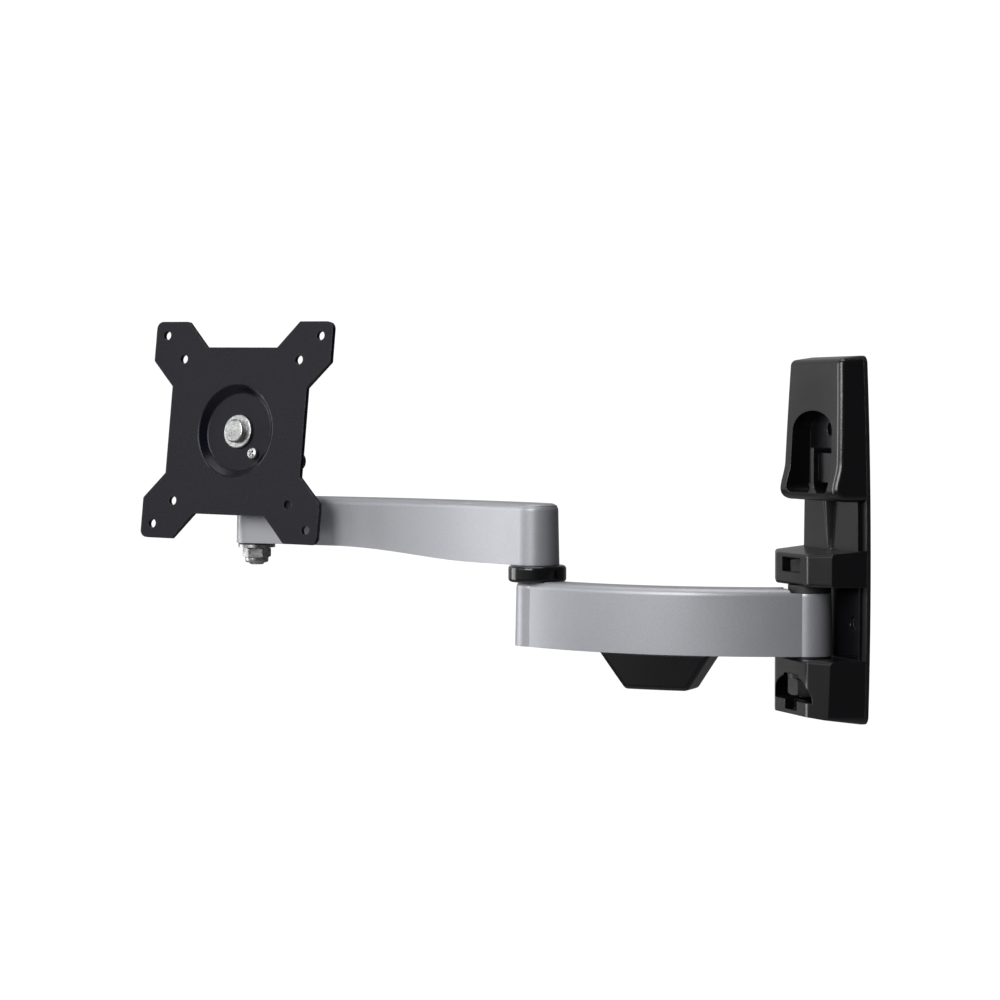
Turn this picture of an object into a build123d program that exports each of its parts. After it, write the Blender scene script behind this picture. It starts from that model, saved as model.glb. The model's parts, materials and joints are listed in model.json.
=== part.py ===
from build123d import *
import os
from math import sqrt

# Full motion wall mount: wall plate and housing, two swinging arms, swivel and tilt head, screen plate.
# Frame: +Z up, the wall is the plane Y = 0 with the room at -Y, and the origin is the middle of the
# wall plate's back face. All sizes are in millimetres and all angles in degrees.

# ---- Pose as drawn: headings are measured in plan from +X, anticlockwise seen from above ----
LOWER_ARM_HEADING = -134.2
UPPER_ARM_HEADING = -150.6
SCREEN_HEADING = -52.5
SCREEN_TILT = 6.8
SCREEN_ROLL = -0.8

# ---- Clearances ----
RUNNING_GAP = 0.05
FACE_GAP = 0.1
SEAT_GAP = 0.05
SWING_GAP = 0.4

# ---- Edges, overlaps and overruns shared by many pieces ----
SMALL_EDGE = 0.8
LUG_EDGE = 1.4
WELD = 0.5
OVERRUN = 1.0
WIDE = 100.0

# ---- Wall plate and housing ----
BRACKET_HEIGHT = 168.0
TOP_HALF_WIDTH = 27.0
MIDDLE_HALF_WIDTH = 31.2
WAIST_HEIGHT = -5.0
BOTTOM_HALF_WIDTH = 29.5
OUTLINE_CORNER = 4.0
WALL_PLATE_THICKNESS = 2.0
SKIN_THICKNESS = 1.4
HOUSING_DRAFT = 8.0
HOUSING_EDGE = 3.0

TOP_BLOCK_FOOT = 17.5
TOP_BLOCK_DEPTH = 13.0
TOP_BLOCK_LOW_DEPTH = 14.6
CHIN_DEPTH = 17.0
CHIN_HEIGHT = 6.0
CHIN_SETBACK = 6.5
CHIN_LEAN = 0.12
FLARE_HEIGHT = 12.0

ARCH_HALF_WIDTH = 20.0
ARCH_RISE = 9.5
ARCH_CROWN = 59.0
ARCH_BACK_DEPTH = 4.6
ARCH_SPREAD = 1.2
FIN_THICKNESS = 3.0
FIN_TOP = 42.0
FIN_DEPTH = 14.0
CAVITY_FLOOR = 21.0
CAVITY_CORNER = 4.0
PAD_DEPTH = 11.4
PAD_TOP = 39.5
PAD_FOOT = 26.0
PAD_REACH = 21.8
PAD_CORNER = 3.0

PANEL_RIM = 4.2
PANEL_DEPTH = 4.4
BEAD_TOP_RADIUS = 4.6
BEAD_FOOT_RADIUS = 2.4

NOSE_DEPTH = 24.5
NOSE_HALF_WIDTH = 16.0
SHOULDER_DEPTH = 18.7
SHOULDER_HALF_WIDTH = 30.8
NOSE_CORNER = 5.0
UPPER_LUG_TOP = -6.4
UPPER_LUG_FOOT = -21.2
LUG_TOP_SLOPE = 1.8
LUG_NOSE_DROP = 0.4
POCKET_HALF_WIDTH = 9.4
POCKET_TOP = -8.6
POCKET_FLOOR = -15.3
POCKET_BACK_DEPTH = 5.0

LOWER_BLOCK_TOP = -54.9
NOSE_FOOT = -83.2
HOLLOW_CROWN = -62.4
HOLLOW_FLOOR = -74.5
HOLLOW_HALF_WIDTH = 19.0
HOLLOW_BACK_DEPTH = 4.5
HOLLOW_NOTCH_HALF_WIDTH = 6.0
HOLLOW_NOTCH_DROP = 4.5
HOLLOW_NOTCH_REACH = 5.0
NUT_WELL_RADIUS = 12.0
NUT_WELL_RISE = 0.2

WALL_SCREW_RADIUS = 2.75
UPPER_WALL_SCREW_Z = 50.5
LOWER_WALL_SCREW_Z = -38.0
LOWER_WALL_SCREW_X = 21.0

HOUSING_SCREW_RADIUS = 2.0
HOUSING_SCREW_HEAD_RADIUS = 3.6
HOUSING_SCREW_LENGTH = 9.0
HOUSING_SCREW_KEY = 2.5
HOUSING_SCREW_KEY_DEPTH = 1.4
HOUSING_SCREW_EDGE = 0.1
HOUSING_SCREW_PLACES = [(0.0, 71.0), (21.0, -13.5), (-21.0, -13.5), (0.0, -58.9)]
CORE_HALF_WIDTH = 17.0
CORE_BOSS_HALF_WIDTH = 5.0
CORE_WALL = 3.5
CORE_TOP_WALL = 5.5

# ---- Pivot bolts ----
CHAMFER_SLOPE = 0.58
WALL_PIVOT_DEPTH = 15.0
PIVOT_RADIUS = 5.0
PIVOT_HEAD_FLATS = 17.0
PIVOT_HEAD_HEIGHT = 6.4
PIVOT_WASHER_RADIUS = 10.0
PIVOT_WASHER_THICKNESS = 2.0
PIVOT_NUT_HEIGHT = 8.0
PIVOT_BOLT_END = -73.6
BUSH_WALL = 2.0
BUSH_LENGTH = 11.0
BUSH_FLANGE_RADIUS = 10.0

# ---- Lower arm ----
LOWER_ARM_LENGTH = 136.6
LOWER_ARM_TOP = -22.8
LOWER_ARM_HEIGHT = 31.2
LOWER_ARM_BOW = 18.0
LOWER_ARM_WAIST = 1.4
ARM_HALF_WIDTH = 10.7
ARM_DRAFT = 1.2
ARM_EDGE = 3.5
ARM_ROOF = 3.0
ARM_WALL = 3.4
ARM_RIB = 2.4
WALL_SEAT_RADIUS = 13.0
WALL_SEAT_DEPTH = 2.2
BARREL_SINK = 0.4
LOWER_RIB_RISE = 8.0
LOWER_RIB_PLACES = (0.26, 0.86)

# ---- Cable clip under the lower arm ----
CLIP_TOP_LENGTH = 54.5
CLIP_FOOT_LENGTH = 33.5
CLIP_HEIGHT = 16.6
CLIP_HALF_WIDTH = 8.6
CLIP_WALL = 1.8
CLIP_CENTRE = 67.8
CLIP_FOOT_SETBACK = 2.9
CLIP_LEG_HEIGHT = 9.0
CLIP_LEG_LENGTH = 14.0
CLIP_LEG_THICKNESS = 1.4
CLIP_LEG_ROOT = 4.0
CLIP_LEG_GAP = 0.3
CLIP_CORNER = 3.0
CLIP_EDGE = 2.0
CLIP_TOP_INSET = 1.3
CLIP_FOOT_INSET = 0.8

# ---- Elbow ----
COLLAR_RADIUS = 14.0
COLLAR_SEAT_DEPTH = 0.6
COLLAR_EDGE = 1.8
ELBOW_HEAD_RADIUS = 8.0
ELBOW_HEAD_HEIGHT = 8.0
ELBOW_HEAD_WELL = 9.4
ELBOW_WASHER_THICKNESS = 1.2
ELBOW_THREAD_DEPTH = 20.0
ELBOW_KEY_FLATS = 8.0
ELBOW_KEY_DEPTH = 5.0
ELBOW_BUSH_GAP = 1.2

# ---- Upper arm ----
UPPER_ARM_LENGTH = 190.9
UPPER_ARM_FOOT = -15.2
UPPER_ARM_HEIGHT = 29.6
UPPER_ARM_HEAD_HEIGHT = 24.7
UPPER_ARM_BOW = -12.0
UPPER_ARM_SLIM_START = 134.0
UPPER_ARM_DEEP_END = 38.0
UPPER_RIB_RISE = 9.0
UPPER_RIB_PLACES = (0.3, 0.6)
ELBOW_BOSS_RADIUS = 9.5
HEAD_BARREL_RADIUS = 9.4

# ---- Swivel and tilt head ----
SWIVEL_BOLT_RADIUS = 4.0
SWIVEL_NUT_FLATS = 13.0
SWIVEL_NUT_HEIGHT = 8.0
SWIVEL_BOLT_TAIL = 1.0
NUT_COLLAR_SHARE = 0.32
NUT_COLLAR_INSET = 0.4
NUT_COLLAR_EDGE = 1.2
SWIVEL_HEAD_HEIGHT = 5.3
SWIVEL_WASHER_THICKNESS = 1.6
SWIVEL_FLANGE_THICKNESS = 1.5
SWIVEL_LOWER_FLANGE = 0.8
HEAD_BUSH_LENGTH = 9.0
HEAD_BUSH_WALL = 1.5
LOWER_FLANGE_RADIUS = 9.6
SWIVEL_WASHER_RADIUS = 9.7
BRACKET_SHEET = 3.0
SWIVEL_BRACKET_HALF_WIDTH = 22.0
SWIVEL_BASE_HALF_DEPTH = 10.0
BRACKET_BEND = 1.5
TILT_AXIS_Z = 32.6
EAR_RADIUS = 8.0
TILT_BOLT_RADIUS = 3.0
TILT_HEAD_FLATS = 10.0
TILT_HEAD_HEIGHT = 4.0
TILT_NUT_HEIGHT = 6.0
TILT_BOLT_TAIL = 0.8
TILT_WASHER_RADIUS = 6.2
TILT_WASHER_THICKNESS = 1.2
FRICTION_WASHER_RADIUS = 7.5
FRICTION_WASHER_THICKNESS = 1.0

# ---- Screen plate, measured forward of and above the tilt axis ----
PLATE_FRONT = 20.3
PLATE_CENTRE_RISE = 13.5
PLATE_THICKNESS = 2.5
PLATE_HALF_SIZE = 57.4
PLATE_BODY_HALF = 43.8
EAR_INNER = 23.0
EAR_SLOPE_OUTER = 36.4
EAR_CORNER = 4.0
EAR_SHOULDER = 1.5
VESA_LARGE = 100.0
VESA_SMALL = 75.0
VESA_HOLE_RADIUS = 2.4
DISH_RADIUS = 24.0
DISH_FLOOR_RADIUS = 20.0
DISH_DEPTH = 3.6
DISH_BACK_SPREAD = 1.4
DISH_FACE_SPREAD = 0.6
DISH_RIM_SPREAD = 1.7
DISH_BACK_EDGE = 2.0
DISH_FACE_EDGE = 1.5
DISH_LIP_EDGE = 1.6
ROLL_BOLT_RADIUS = 4.0
ROLL_FLANGE_RADIUS = 8.9
ROLL_FLANGE_THICKNESS = 1.6
ROLL_BOSS_RADIUS = 6.0
ROLL_BOSS_HEIGHT = 3.4
ROLL_WASHER_RADIUS = 10.0
ROLL_WASHER_THICKNESS = 1.0
ROLL_NUT_HEIGHT = 5.0
ROLL_NUT_WASHER_RADIUS = 8.0
ROLL_NUT_WASHER_THICKNESS = 1.2
ROLL_BOLT_TAIL = 0.8
ROLL_FLANGE_EDGE = 0.7
ROLL_BOSS_EDGE = 0.9
CARRIER_FACE_HALF_HEIGHT = 19.0
CARRIER_FACE_LOW = 15.5
CARRIER_CORNER = 4.0
CARRIER_EAR_LOW = 2.0
CARRIER_EAR_RISE = 4.0
CARRIER_EAR_RADIUS = 7.8
LOCK_SCREW_RADIUS = 2.0
LOCK_HEAD_RADIUS = 3.1
LOCK_HEAD_HEIGHT = 2.3
LOCK_SCREW_PLACE = (10.6, -11.3)
LOCK_TRAVEL = 92.0
LOCK_SLOT_GAP = 0.3
LOCK_HEAD_EDGE = 1.1
LOCK_SINK = 0.5
CROSS_LENGTH = 3.6
CROSS_WIDTH = 0.9
CROSS_DEPTH = 1.5

# ---- Worked out from the sizes above ----
HALF_HEIGHT = BRACKET_HEIGHT / 2
SKIN_DEPTH = WALL_PLATE_THICKNESS + SKIN_THICKNESS
WALL_PIVOT = Vector(0, -WALL_PIVOT_DEPTH, 0)
ELBOW = WALL_PIVOT + Vector(LOWER_ARM_LENGTH, 0, 0).rotate(Axis.Z, LOWER_ARM_HEADING)
HEAD = ELBOW + Vector(UPPER_ARM_LENGTH, 0, 0).rotate(Axis.Z, UPPER_ARM_HEADING)
LOWER_ARM_FOOT = LOWER_ARM_TOP - LOWER_ARM_HEIGHT
UPPER_ARM_TOP = UPPER_ARM_FOOT + UPPER_ARM_HEIGHT
HEAD_BARREL_FOOT = UPPER_ARM_TOP - UPPER_ARM_HEAD_HEIGHT
BUSH_RADIUS = PIVOT_RADIUS + RUNNING_GAP + BUSH_WALL
COLLAR_FOOT = LOWER_ARM_TOP - COLLAR_SEAT_DEPTH
WALL_SEAT = LOWER_ARM_TOP - WALL_SEAT_DEPTH
SWIVEL_BASE = UPPER_ARM_TOP + SWIVEL_FLANGE_THICKNESS
SWIVEL_EAR_INNER = SWIVEL_BRACKET_HALF_WIDTH - BRACKET_SHEET
CARRIER_HALF_WIDTH = SWIVEL_EAR_INNER - FRICTION_WASHER_THICKNESS
DISH_FRONT = PLATE_FRONT - DISH_DEPTH
DISH_BACK = DISH_FRONT - PLATE_THICKNESS
CARRIER_FRONT = DISH_BACK - ROLL_WASHER_THICKNESS
CARRIER_BACK = CARRIER_FRONT - BRACKET_SHEET
HEAD_BUSH_RADIUS = SWIVEL_BOLT_RADIUS + RUNNING_GAP + HEAD_BUSH_WALL
ROLL_NUT_TOP = CARRIER_BACK - ROLL_NUT_WASHER_THICKNESS
ELBOW_SEAT = LOWER_ARM_FOOT + ELBOW_HEAD_WELL - FACE_GAP
PIVOT_WASHER_TOP = HOLLOW_CROWN + NUT_WELL_RISE
PIVOT_NUT_TOP = PIVOT_WASHER_TOP - PIVOT_WASHER_THICKNESS
SWIVEL_WASHER_TOP = HEAD_BARREL_FOOT - SWIVEL_LOWER_FLANGE - FACE_GAP
SWIVEL_NUT_TOP = SWIVEL_WASHER_TOP - SWIVEL_WASHER_THICKNESS
BRACKET_BASE_LOW = SWIVEL_BASE + FACE_GAP
BRACKET_BASE_HIGH = BRACKET_BASE_LOW + BRACKET_SHEET
TILT_SEAT = SWIVEL_BRACKET_HALF_WIDTH + TILT_WASHER_THICKNESS


def lower_arm_place():
    return Location((WALL_PIVOT.X, WALL_PIVOT.Y, 0), (0, 0, LOWER_ARM_HEADING))


def upper_arm_place():
    return Location((ELBOW.X, ELBOW.Y, 0), (0, 0, UPPER_ARM_HEADING))


def swivel_place():
    return Location((HEAD.X, HEAD.Y, 0), (0, 0, SCREEN_HEADING))


def tilt_place():
    return swivel_place() * Pos(0, 0, TILT_AXIS_Z) * Rot(0, -SCREEN_TILT, 0)


def roll_place():
    return tilt_place() * Pos(0, 0, PLATE_CENTRE_RISE) * Rot(SCREEN_ROLL, 0, 0)


UPWARD = (Align.CENTER, Align.CENTER, Align.MIN)


def rod(radius, bottom, top):
    """A round bar along Z between two heights."""
    return Pos(0, 0, bottom) * Cylinder(radius, top - bottom, align=UPWARD)


def ring(outer, inner, bottom, top):
    return rod(outer, bottom, top) - rod(inner, bottom, top)


def hexagon(flats, bottom, top):
    face = RegularPolygon(flats / 2, 6, major_radius=False)
    return Pos(0, 0, bottom) * extrude(face, top - bottom)


def chamfered_hexagon(flats, bottom, top, at_top=True, at_bottom=True):
    """A hexagon with its corners turned off at 30 degrees, as nuts and heads have."""
    radius = flats / sqrt(3) + 0.01
    inset = radius - flats / 2
    drop = inset * CHAMFER_SLOPE
    points = [(0, bottom)]
    if at_bottom:
        points += [(radius - inset, bottom), (radius, bottom + drop)]
    else:
        points += [(radius, bottom)]
    if at_top:
        points += [(radius, top - drop), (radius - inset, top)]
    else:
        points += [(radius, top)]
    points += [(0, top)]
    turned = revolve(Plane.XZ * make_face(Polyline(*points, close=True)), Axis.Z)
    return hexagon(flats, bottom, top) & turned


def block(x_range, depth_range, z_range):
    """A box given by its X range, its depths from the wall and its Z range."""
    x_low, x_high = x_range
    near, far = depth_range
    z_low, z_high = z_range
    size = (x_high - x_low, far - near, z_high - z_low)
    middle = ((x_low + x_high) / 2, -(near + far) / 2, (z_low + z_high) / 2)
    return Pos(*middle) * Box(*size)


def toward_room(face, near, far, taper=0):
    """Extrudes a face drawn in X and Z from one depth to another, away from the wall."""
    return Pos(0, -near, 0) * extrude(Plane.XZ * face, far - near, taper=taper)


# ---- Wall side ----

def bracket_outline(inset=0.0):
    """Front outline of the bracket: bulging sides between a narrow top and a wider foot."""
    top = HALF_HEIGHT - inset
    upper, middle, lower = TOP_HALF_WIDTH - inset, MIDDLE_HALF_WIDTH - inset, BOTTOM_HALF_WIDTH - inset
    right = ThreePointArc((lower, -top), (middle, WAIST_HEIGHT), (upper, top))
    left = ThreePointArc((-upper, top), (-middle, WAIST_HEIGHT), (-lower, -top))
    face = make_face(Curve() + [right, Line(right @ 1, left @ 0), left, Line(left @ 1, right @ 0)])
    return fillet(face.vertices(), OUTLINE_CORNER)


def wall_plate():
    plate = toward_room(bracket_outline(), 0, WALL_PLATE_THICKNESS)
    for x, z in wall_screw_places():
        plate -= toward_room(Pos(x, z) * Circle(WALL_SCREW_RADIUS), 0, WALL_PLATE_THICKNESS)
    for x, z in HOUSING_SCREW_PLACES:
        plate -= housing_screw_shape(x, z, SEAT_GAP)
    return plate


def wall_screw_places():
    return [
        (0.0, UPPER_WALL_SCREW_Z),
        (LOWER_WALL_SCREW_X, LOWER_WALL_SCREW_Z),
        (-LOWER_WALL_SCREW_X, LOWER_WALL_SCREW_Z)]


def housing_screw_shape(x, z, gap):
    """A countersunk screw driven from the wall side; gap grows it into its own hole."""
    head = HOUSING_SCREW_HEAD_RADIUS + gap
    shank = HOUSING_SCREW_RADIUS + gap
    edge = HOUSING_SCREW_EDGE
    start = -edge if gap else 0
    end = HOUSING_SCREW_LENGTH + gap
    sink = WALL_PLATE_THICKNESS - 2 * edge
    profile = Polyline(
        (0, start), (head, start), (head, edge), (shank, sink), (shank, end), (0, end), close=True)
    turned = revolve(Plane.XZ * make_face(profile), Axis.Z)
    return Pos(x, 0, z) * Rot(90, 0, 0) * turned


def housing_screws():
    screws = []
    for x, z in HOUSING_SCREW_PLACES:
        screw = housing_screw_shape(x, z, 0)
        drive = Pos(x, 0, z) * Rot(90, 0, 0) * hexagon(
            HOUSING_SCREW_KEY, -HOUSING_SCREW_EDGE, HOUSING_SCREW_KEY_DEPTH)
        screws.append(screw - drive)
    return Compound(children=screws)


def nose_plan():
    """Plan of the hinge lugs: a flat nose with a chamfered shoulder on each side."""
    wide = MIDDLE_HALF_WIDTH + OVERRUN
    back = -WALL_PLATE_THICKNESS
    shoulder = OVERRUN - SHOULDER_DEPTH
    face = make_face(Polyline(
        (-wide, back), (-SHOULDER_HALF_WIDTH, shoulder), (-NOSE_HALF_WIDTH, -NOSE_DEPTH),
        (NOSE_HALF_WIDTH, -NOSE_DEPTH), (SHOULDER_HALF_WIDTH, shoulder), (wide, back), close=True))
    nose_corners = face.vertices().sort_by(Axis.Y)[:2]
    return fillet(nose_corners, NOSE_CORNER)


def top_block_side():
    """Side profile of the top block: a leaning front that flares out to a rounded chin."""
    foot = TOP_BLOCK_FOOT
    top = HALF_HEIGHT + OVERRUN
    back = WALL_PLATE_THICKNESS
    flare_start = (TOP_BLOCK_LOW_DEPTH, foot + CHIN_HEIGHT + FLARE_HEIGHT)
    chin = (CHIN_DEPTH, foot + CHIN_HEIGHT)
    down = (CHIN_LEAN, -1)
    front = Line((TOP_BLOCK_DEPTH, top), flare_start)
    flare = Spline([flare_start, chin], tangents=[front % 1, down])
    under = Spline([chin, (CHIN_DEPTH - CHIN_SETBACK, foot)], tangents=[down, (-1, 0)])
    rest = Polyline(under @ 1, (back, foot), (back, top), (TOP_BLOCK_DEPTH, top))
    return make_face(Curve() + [front, flare, under, rest])


def side_extrusion(face, half_width):
    """Extrudes a face drawn in depth and Z to both sides of the centre plane."""
    plane = Plane(origin=(0, 0, 0), x_dir=(0, -1, 0), z_dir=(-1, 0, 0))
    return extrude(plane * face, half_width, both=True)


def arch_face():
    """Front outline of the cavity: a flat arch over sides that spread a little to a rounded floor."""
    spring = ARCH_CROWN - ARCH_RISE
    half, spread = ARCH_HALF_WIDTH, ARCH_HALF_WIDTH + ARCH_SPREAD
    crown = EllipticalCenterArc((0, spring), half, ARCH_RISE, start_angle=0, arc_size=180)
    sides = Polyline((-half, spring), (-spread, CAVITY_FLOOR), (spread, CAVITY_FLOOR), (half, spring))
    return make_face(Curve() + [crown, sides])


def arch_cavity():
    """The cavity of the top block, with a fin left standing up its middle as far as the fin's depth."""
    open_face = arch_face()
    fin_height = FIN_TOP - CAVITY_FLOOR + OVERRUN
    fin = Pos(0, FIN_TOP - fin_height / 2) * Rectangle(FIN_THICKNESS, fin_height)
    fin = fillet(fin.vertices().group_by(Axis.Y)[-1], FIN_THICKNESS / 2 - SEAT_GAP)
    behind = open_face - fin
    floor_corners = behind.vertices().group_by(Axis.Y)[0]
    behind = fillet(floor_corners, CAVITY_CORNER)
    open_face = fillet(open_face.vertices().group_by(Axis.Y)[0], CAVITY_CORNER)
    beside_fin = toward_room(behind, ARCH_BACK_DEPTH, FIN_DEPTH + WELD)
    return beside_fin + toward_room(open_face, FIN_DEPTH, NOSE_DEPTH)


def cavity_pad():
    """The raised pad in the right half of the arch cavity."""
    left = FIN_THICKNESS / 2 - WELD
    face = Pos((left + PAD_REACH) / 2, (PAD_TOP + PAD_FOOT) / 2) * RectangleRounded(
        PAD_REACH - left, PAD_TOP - PAD_FOOT, PAD_CORNER)
    return toward_room(face, SKIN_DEPTH, PAD_DEPTH)


def lug_solid(top, foot, slope=0.0):
    return Pos(0, 0, foot) * extrude(nose_plan(), top - foot + slope)


def upper_lug():
    lug = lug_solid(UPPER_LUG_TOP, UPPER_LUG_FOOT, LUG_TOP_SLOPE)
    back, front = WALL_PLATE_THICKNESS, NOSE_DEPTH + OVERRUN
    high = UPPER_LUG_TOP + 2 * LUG_TOP_SLOPE
    lean = make_face(Polyline(
        (back, UPPER_LUG_TOP + LUG_TOP_SLOPE), (front, UPPER_LUG_TOP - LUG_NOSE_DROP), (front, high),
        (back, high), close=True))
    lug -= side_extrusion(lean, WIDE)
    edges = lug.edges().filter_by(lambda e: e.center().Y < -SKIN_DEPTH)
    lug = fillet(edges.filter_by(Axis.Z, reverse=True), LUG_EDGE)
    pocket = block(
        (-POCKET_HALF_WIDTH, POCKET_HALF_WIDTH), (POCKET_BACK_DEPTH, front), (POCKET_FLOOR, POCKET_TOP))
    return lug - pocket


def lower_block():
    solid = lug_solid(LOWER_BLOCK_TOP, -HALF_HEIGHT - OVERRUN)
    solid -= block((-WIDE, WIDE), (SHOULDER_DEPTH + OVERRUN, NOSE_DEPTH + OVERRUN), (-WIDE, NOSE_FOOT))
    edges = solid.edges().filter_by(lambda e: e.center().Y < -WALL_PIVOT_DEPTH)
    return fillet(edges.filter_by(Axis.Z, reverse=True).group_by(Axis.Z)[-1], LUG_EDGE)


def lower_hollow():
    front = NOSE_DEPTH + OVERRUN
    rise = HOLLOW_CROWN - HOLLOW_FLOOR
    crown = EllipticalCenterArc(
        (0, HOLLOW_FLOOR), HOLLOW_HALF_WIDTH, rise, start_angle=0, arc_size=180)
    face = make_face(Curve() + [crown, Line(crown @ 1, crown @ 0)])
    hollow = toward_room(face, HOLLOW_BACK_DEPTH, front)
    well = at_wall_pivot(rod(NUT_WELL_RADIUS, HOLLOW_FLOOR, PIVOT_WASHER_TOP))
    notch = block(
        (-HOLLOW_NOTCH_HALF_WIDTH, HOLLOW_NOTCH_HALF_WIDTH),
        (NOSE_DEPTH - HOLLOW_NOTCH_REACH, front),
        (HOLLOW_FLOOR - HOLLOW_NOTCH_DROP, HOLLOW_FLOOR + OVERRUN))
    return hollow + well + notch


def bead():
    """The half-round bead down the middle of the recessed panel, wider at its top."""
    foot = UPPER_LUG_TOP - OVERRUN
    height = TOP_BLOCK_FOOT + CHIN_HEIGHT / 2 - foot
    cone = Cone(BEAD_FOOT_RADIUS, BEAD_TOP_RADIUS, height, align=UPWARD)
    whole = Pos(0, OVERRUN - PANEL_DEPTH, foot) * cone
    return whole & block((-WIDE, WIDE), (SKIN_DEPTH, NOSE_DEPTH), (-WIDE, WIDE))


def top_block(envelope):
    """The block above the panel, with its front edges rounded and its arch cavity cut."""
    front = side_extrusion(top_block_side(), WIDE)
    solid = front & envelope
    edges = solid.edges().filter_by(lambda e: e.center().Y < HOUSING_EDGE - TOP_BLOCK_DEPTH)
    outer = edges.filter_by(lambda e: e.center().Z > ARCH_CROWN or abs(e.center().X) > 2 * HOUSING_EDGE)
    solid = fillet(outer, HOUSING_EDGE)
    return solid - arch_cavity() + cavity_pad()


def flat_skin():
    """The thin wall behind everything, and the recessed panel that stands a little proud of it."""
    face = bracket_outline(PANEL_RIM)
    panel = toward_room(face, WALL_PLATE_THICKNESS, PANEL_DEPTH)
    panel &= block((-WIDE, WIDE), (0, NOSE_DEPTH), (UPPER_LUG_TOP - OVERRUN, TOP_BLOCK_FOOT + OVERRUN))
    return toward_room(face, WALL_PLATE_THICKNESS, SKIN_DEPTH) + panel


def moulding_cores():
    """Two pockets in the back of the top block that keep its walls even."""
    depth = (0, TOP_BLOCK_DEPTH - CORE_WALL)
    rise = (ARCH_CROWN + CORE_WALL, HALF_HEIGHT - CORE_TOP_WALL)
    return [
        block((CORE_BOSS_HALF_WIDTH, CORE_HALF_WIDTH), depth, rise),
        block((-CORE_HALF_WIDTH, -CORE_BOSS_HALF_WIDTH), depth, rise)]


def wall_housing():
    envelope = toward_room(bracket_outline(), WALL_PLATE_THICKNESS, NOSE_DEPTH + OVERRUN, HOUSING_DRAFT)
    housing = flat_skin() + bead() + top_block(envelope)
    housing += (upper_lug() & envelope) + (lower_block() & envelope)
    housing -= lower_hollow()
    for core in moulding_cores():
        housing -= core
    housing -= at_wall_pivot(rod(PIVOT_RADIUS + SEAT_GAP, HOLLOW_FLOOR, POCKET_TOP))
    for x, z in wall_screw_places():
        hole = Circle(WALL_SCREW_RADIUS + SWING_GAP)
        housing -= toward_room(Pos(x, z) * hole, 0, ARCH_BACK_DEPTH + OVERRUN)
    for x, z in HOUSING_SCREW_PLACES:
        housing -= housing_screw_shape(x, z, SEAT_GAP)
    return housing


def at_wall_pivot(shape):
    return Pos(WALL_PIVOT.X, WALL_PIVOT.Y, 0) * shape


def wall_pivot_bolt():
    head = Rot(0, 0, 30) * chamfered_hexagon(
        PIVOT_HEAD_FLATS, POCKET_FLOOR, POCKET_FLOOR + PIVOT_HEAD_HEIGHT, at_bottom=False)
    shank = rod(PIVOT_RADIUS, PIVOT_BOLT_END, POCKET_FLOOR + OVERRUN)
    shank = chamfer(shank.edges().group_by(Axis.Z)[0], SMALL_EDGE)
    return at_wall_pivot(head + shank)


def wall_pivot_washer():
    return at_wall_pivot(ring(PIVOT_WASHER_RADIUS, PIVOT_RADIUS + SEAT_GAP, PIVOT_NUT_TOP, PIVOT_WASHER_TOP))


def wall_pivot_nut():
    foot = PIVOT_NUT_TOP - PIVOT_NUT_HEIGHT
    body = chamfered_hexagon(PIVOT_HEAD_FLATS, foot, PIVOT_NUT_TOP)
    return at_wall_pivot(body - rod(PIVOT_RADIUS + SEAT_GAP, foot, PIVOT_NUT_TOP))


# ---- Arms ----

def bowed_slot(length, bow, half_width):
    """Plan of an arm: a band of even width along an arc, with round ends."""
    return SlotArc(ThreePointArc((0, 0), (length / 2, bow), (length, 0)), 2 * half_width)


def drafted(face, foot, top):
    """A plan drawn upwards, a little wider at its foot, with its top edge rounded."""
    blank = Pos(0, 0, foot) * extrude(face, top - foot, taper=ARM_DRAFT)
    return fillet(blank.edges().group_by(Axis.Z)[-1], ARM_EDGE)


def arm_core(length, bow, foot, top, rib_rise, rib_places):
    """The space under an arm's roof, between its two barrels and crossed by its ribs."""
    face = bowed_slot(length, bow, ARM_HALF_WIDTH - ARM_WALL)
    for x in (0, length):
        face -= Pos(x, 0) * Circle(ARM_HALF_WIDTH - BARREL_SINK)
    core = Pos(0, 0, foot - OVERRUN) * extrude(face, top - ARM_ROOF - foot + OVERRUN)
    for share in rib_places:
        core -= Pos(share * length, 0, foot + rib_rise) * Box(ARM_RIB, WIDE, WIDE, align=UPWARD)
    return core


def bush(radius, inner, low, high, flange_radius, flange_low, flange_high):
    return ring(radius, inner, low, high) + ring(flange_radius, inner, flange_low, flange_high)


def lower_arm():
    foot, top = LOWER_ARM_FOOT, LOWER_ARM_TOP
    above, below = top + OVERRUN, foot - OVERRUN
    elbow_end = Pos(LOWER_ARM_LENGTH, 0, 0)
    arm = drafted(bowed_slot(LOWER_ARM_LENGTH, LOWER_ARM_BOW, ARM_HALF_WIDTH - LOWER_ARM_WAIST), foot, top)
    barrel = drafted(Circle(ARM_HALF_WIDTH), foot, top)
    arm += [barrel, elbow_end * barrel]
    arm -= arm_core(LOWER_ARM_LENGTH, LOWER_ARM_BOW, foot, top, LOWER_RIB_RISE, LOWER_RIB_PLACES)
    arm -= rod(WALL_SEAT_RADIUS, WALL_SEAT, above)
    arm -= elbow_end * rod(COLLAR_RADIUS + SWING_GAP, COLLAR_FOOT, above)
    for end in (Pos(0, 0, 0), elbow_end):
        arm -= end * rod(BUSH_RADIUS + SEAT_GAP, below, above)
    arm -= elbow_end * rod(ELBOW_HEAD_RADIUS + SWING_GAP, below, foot + ELBOW_HEAD_WELL)
    return lower_arm_place() * arm


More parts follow.
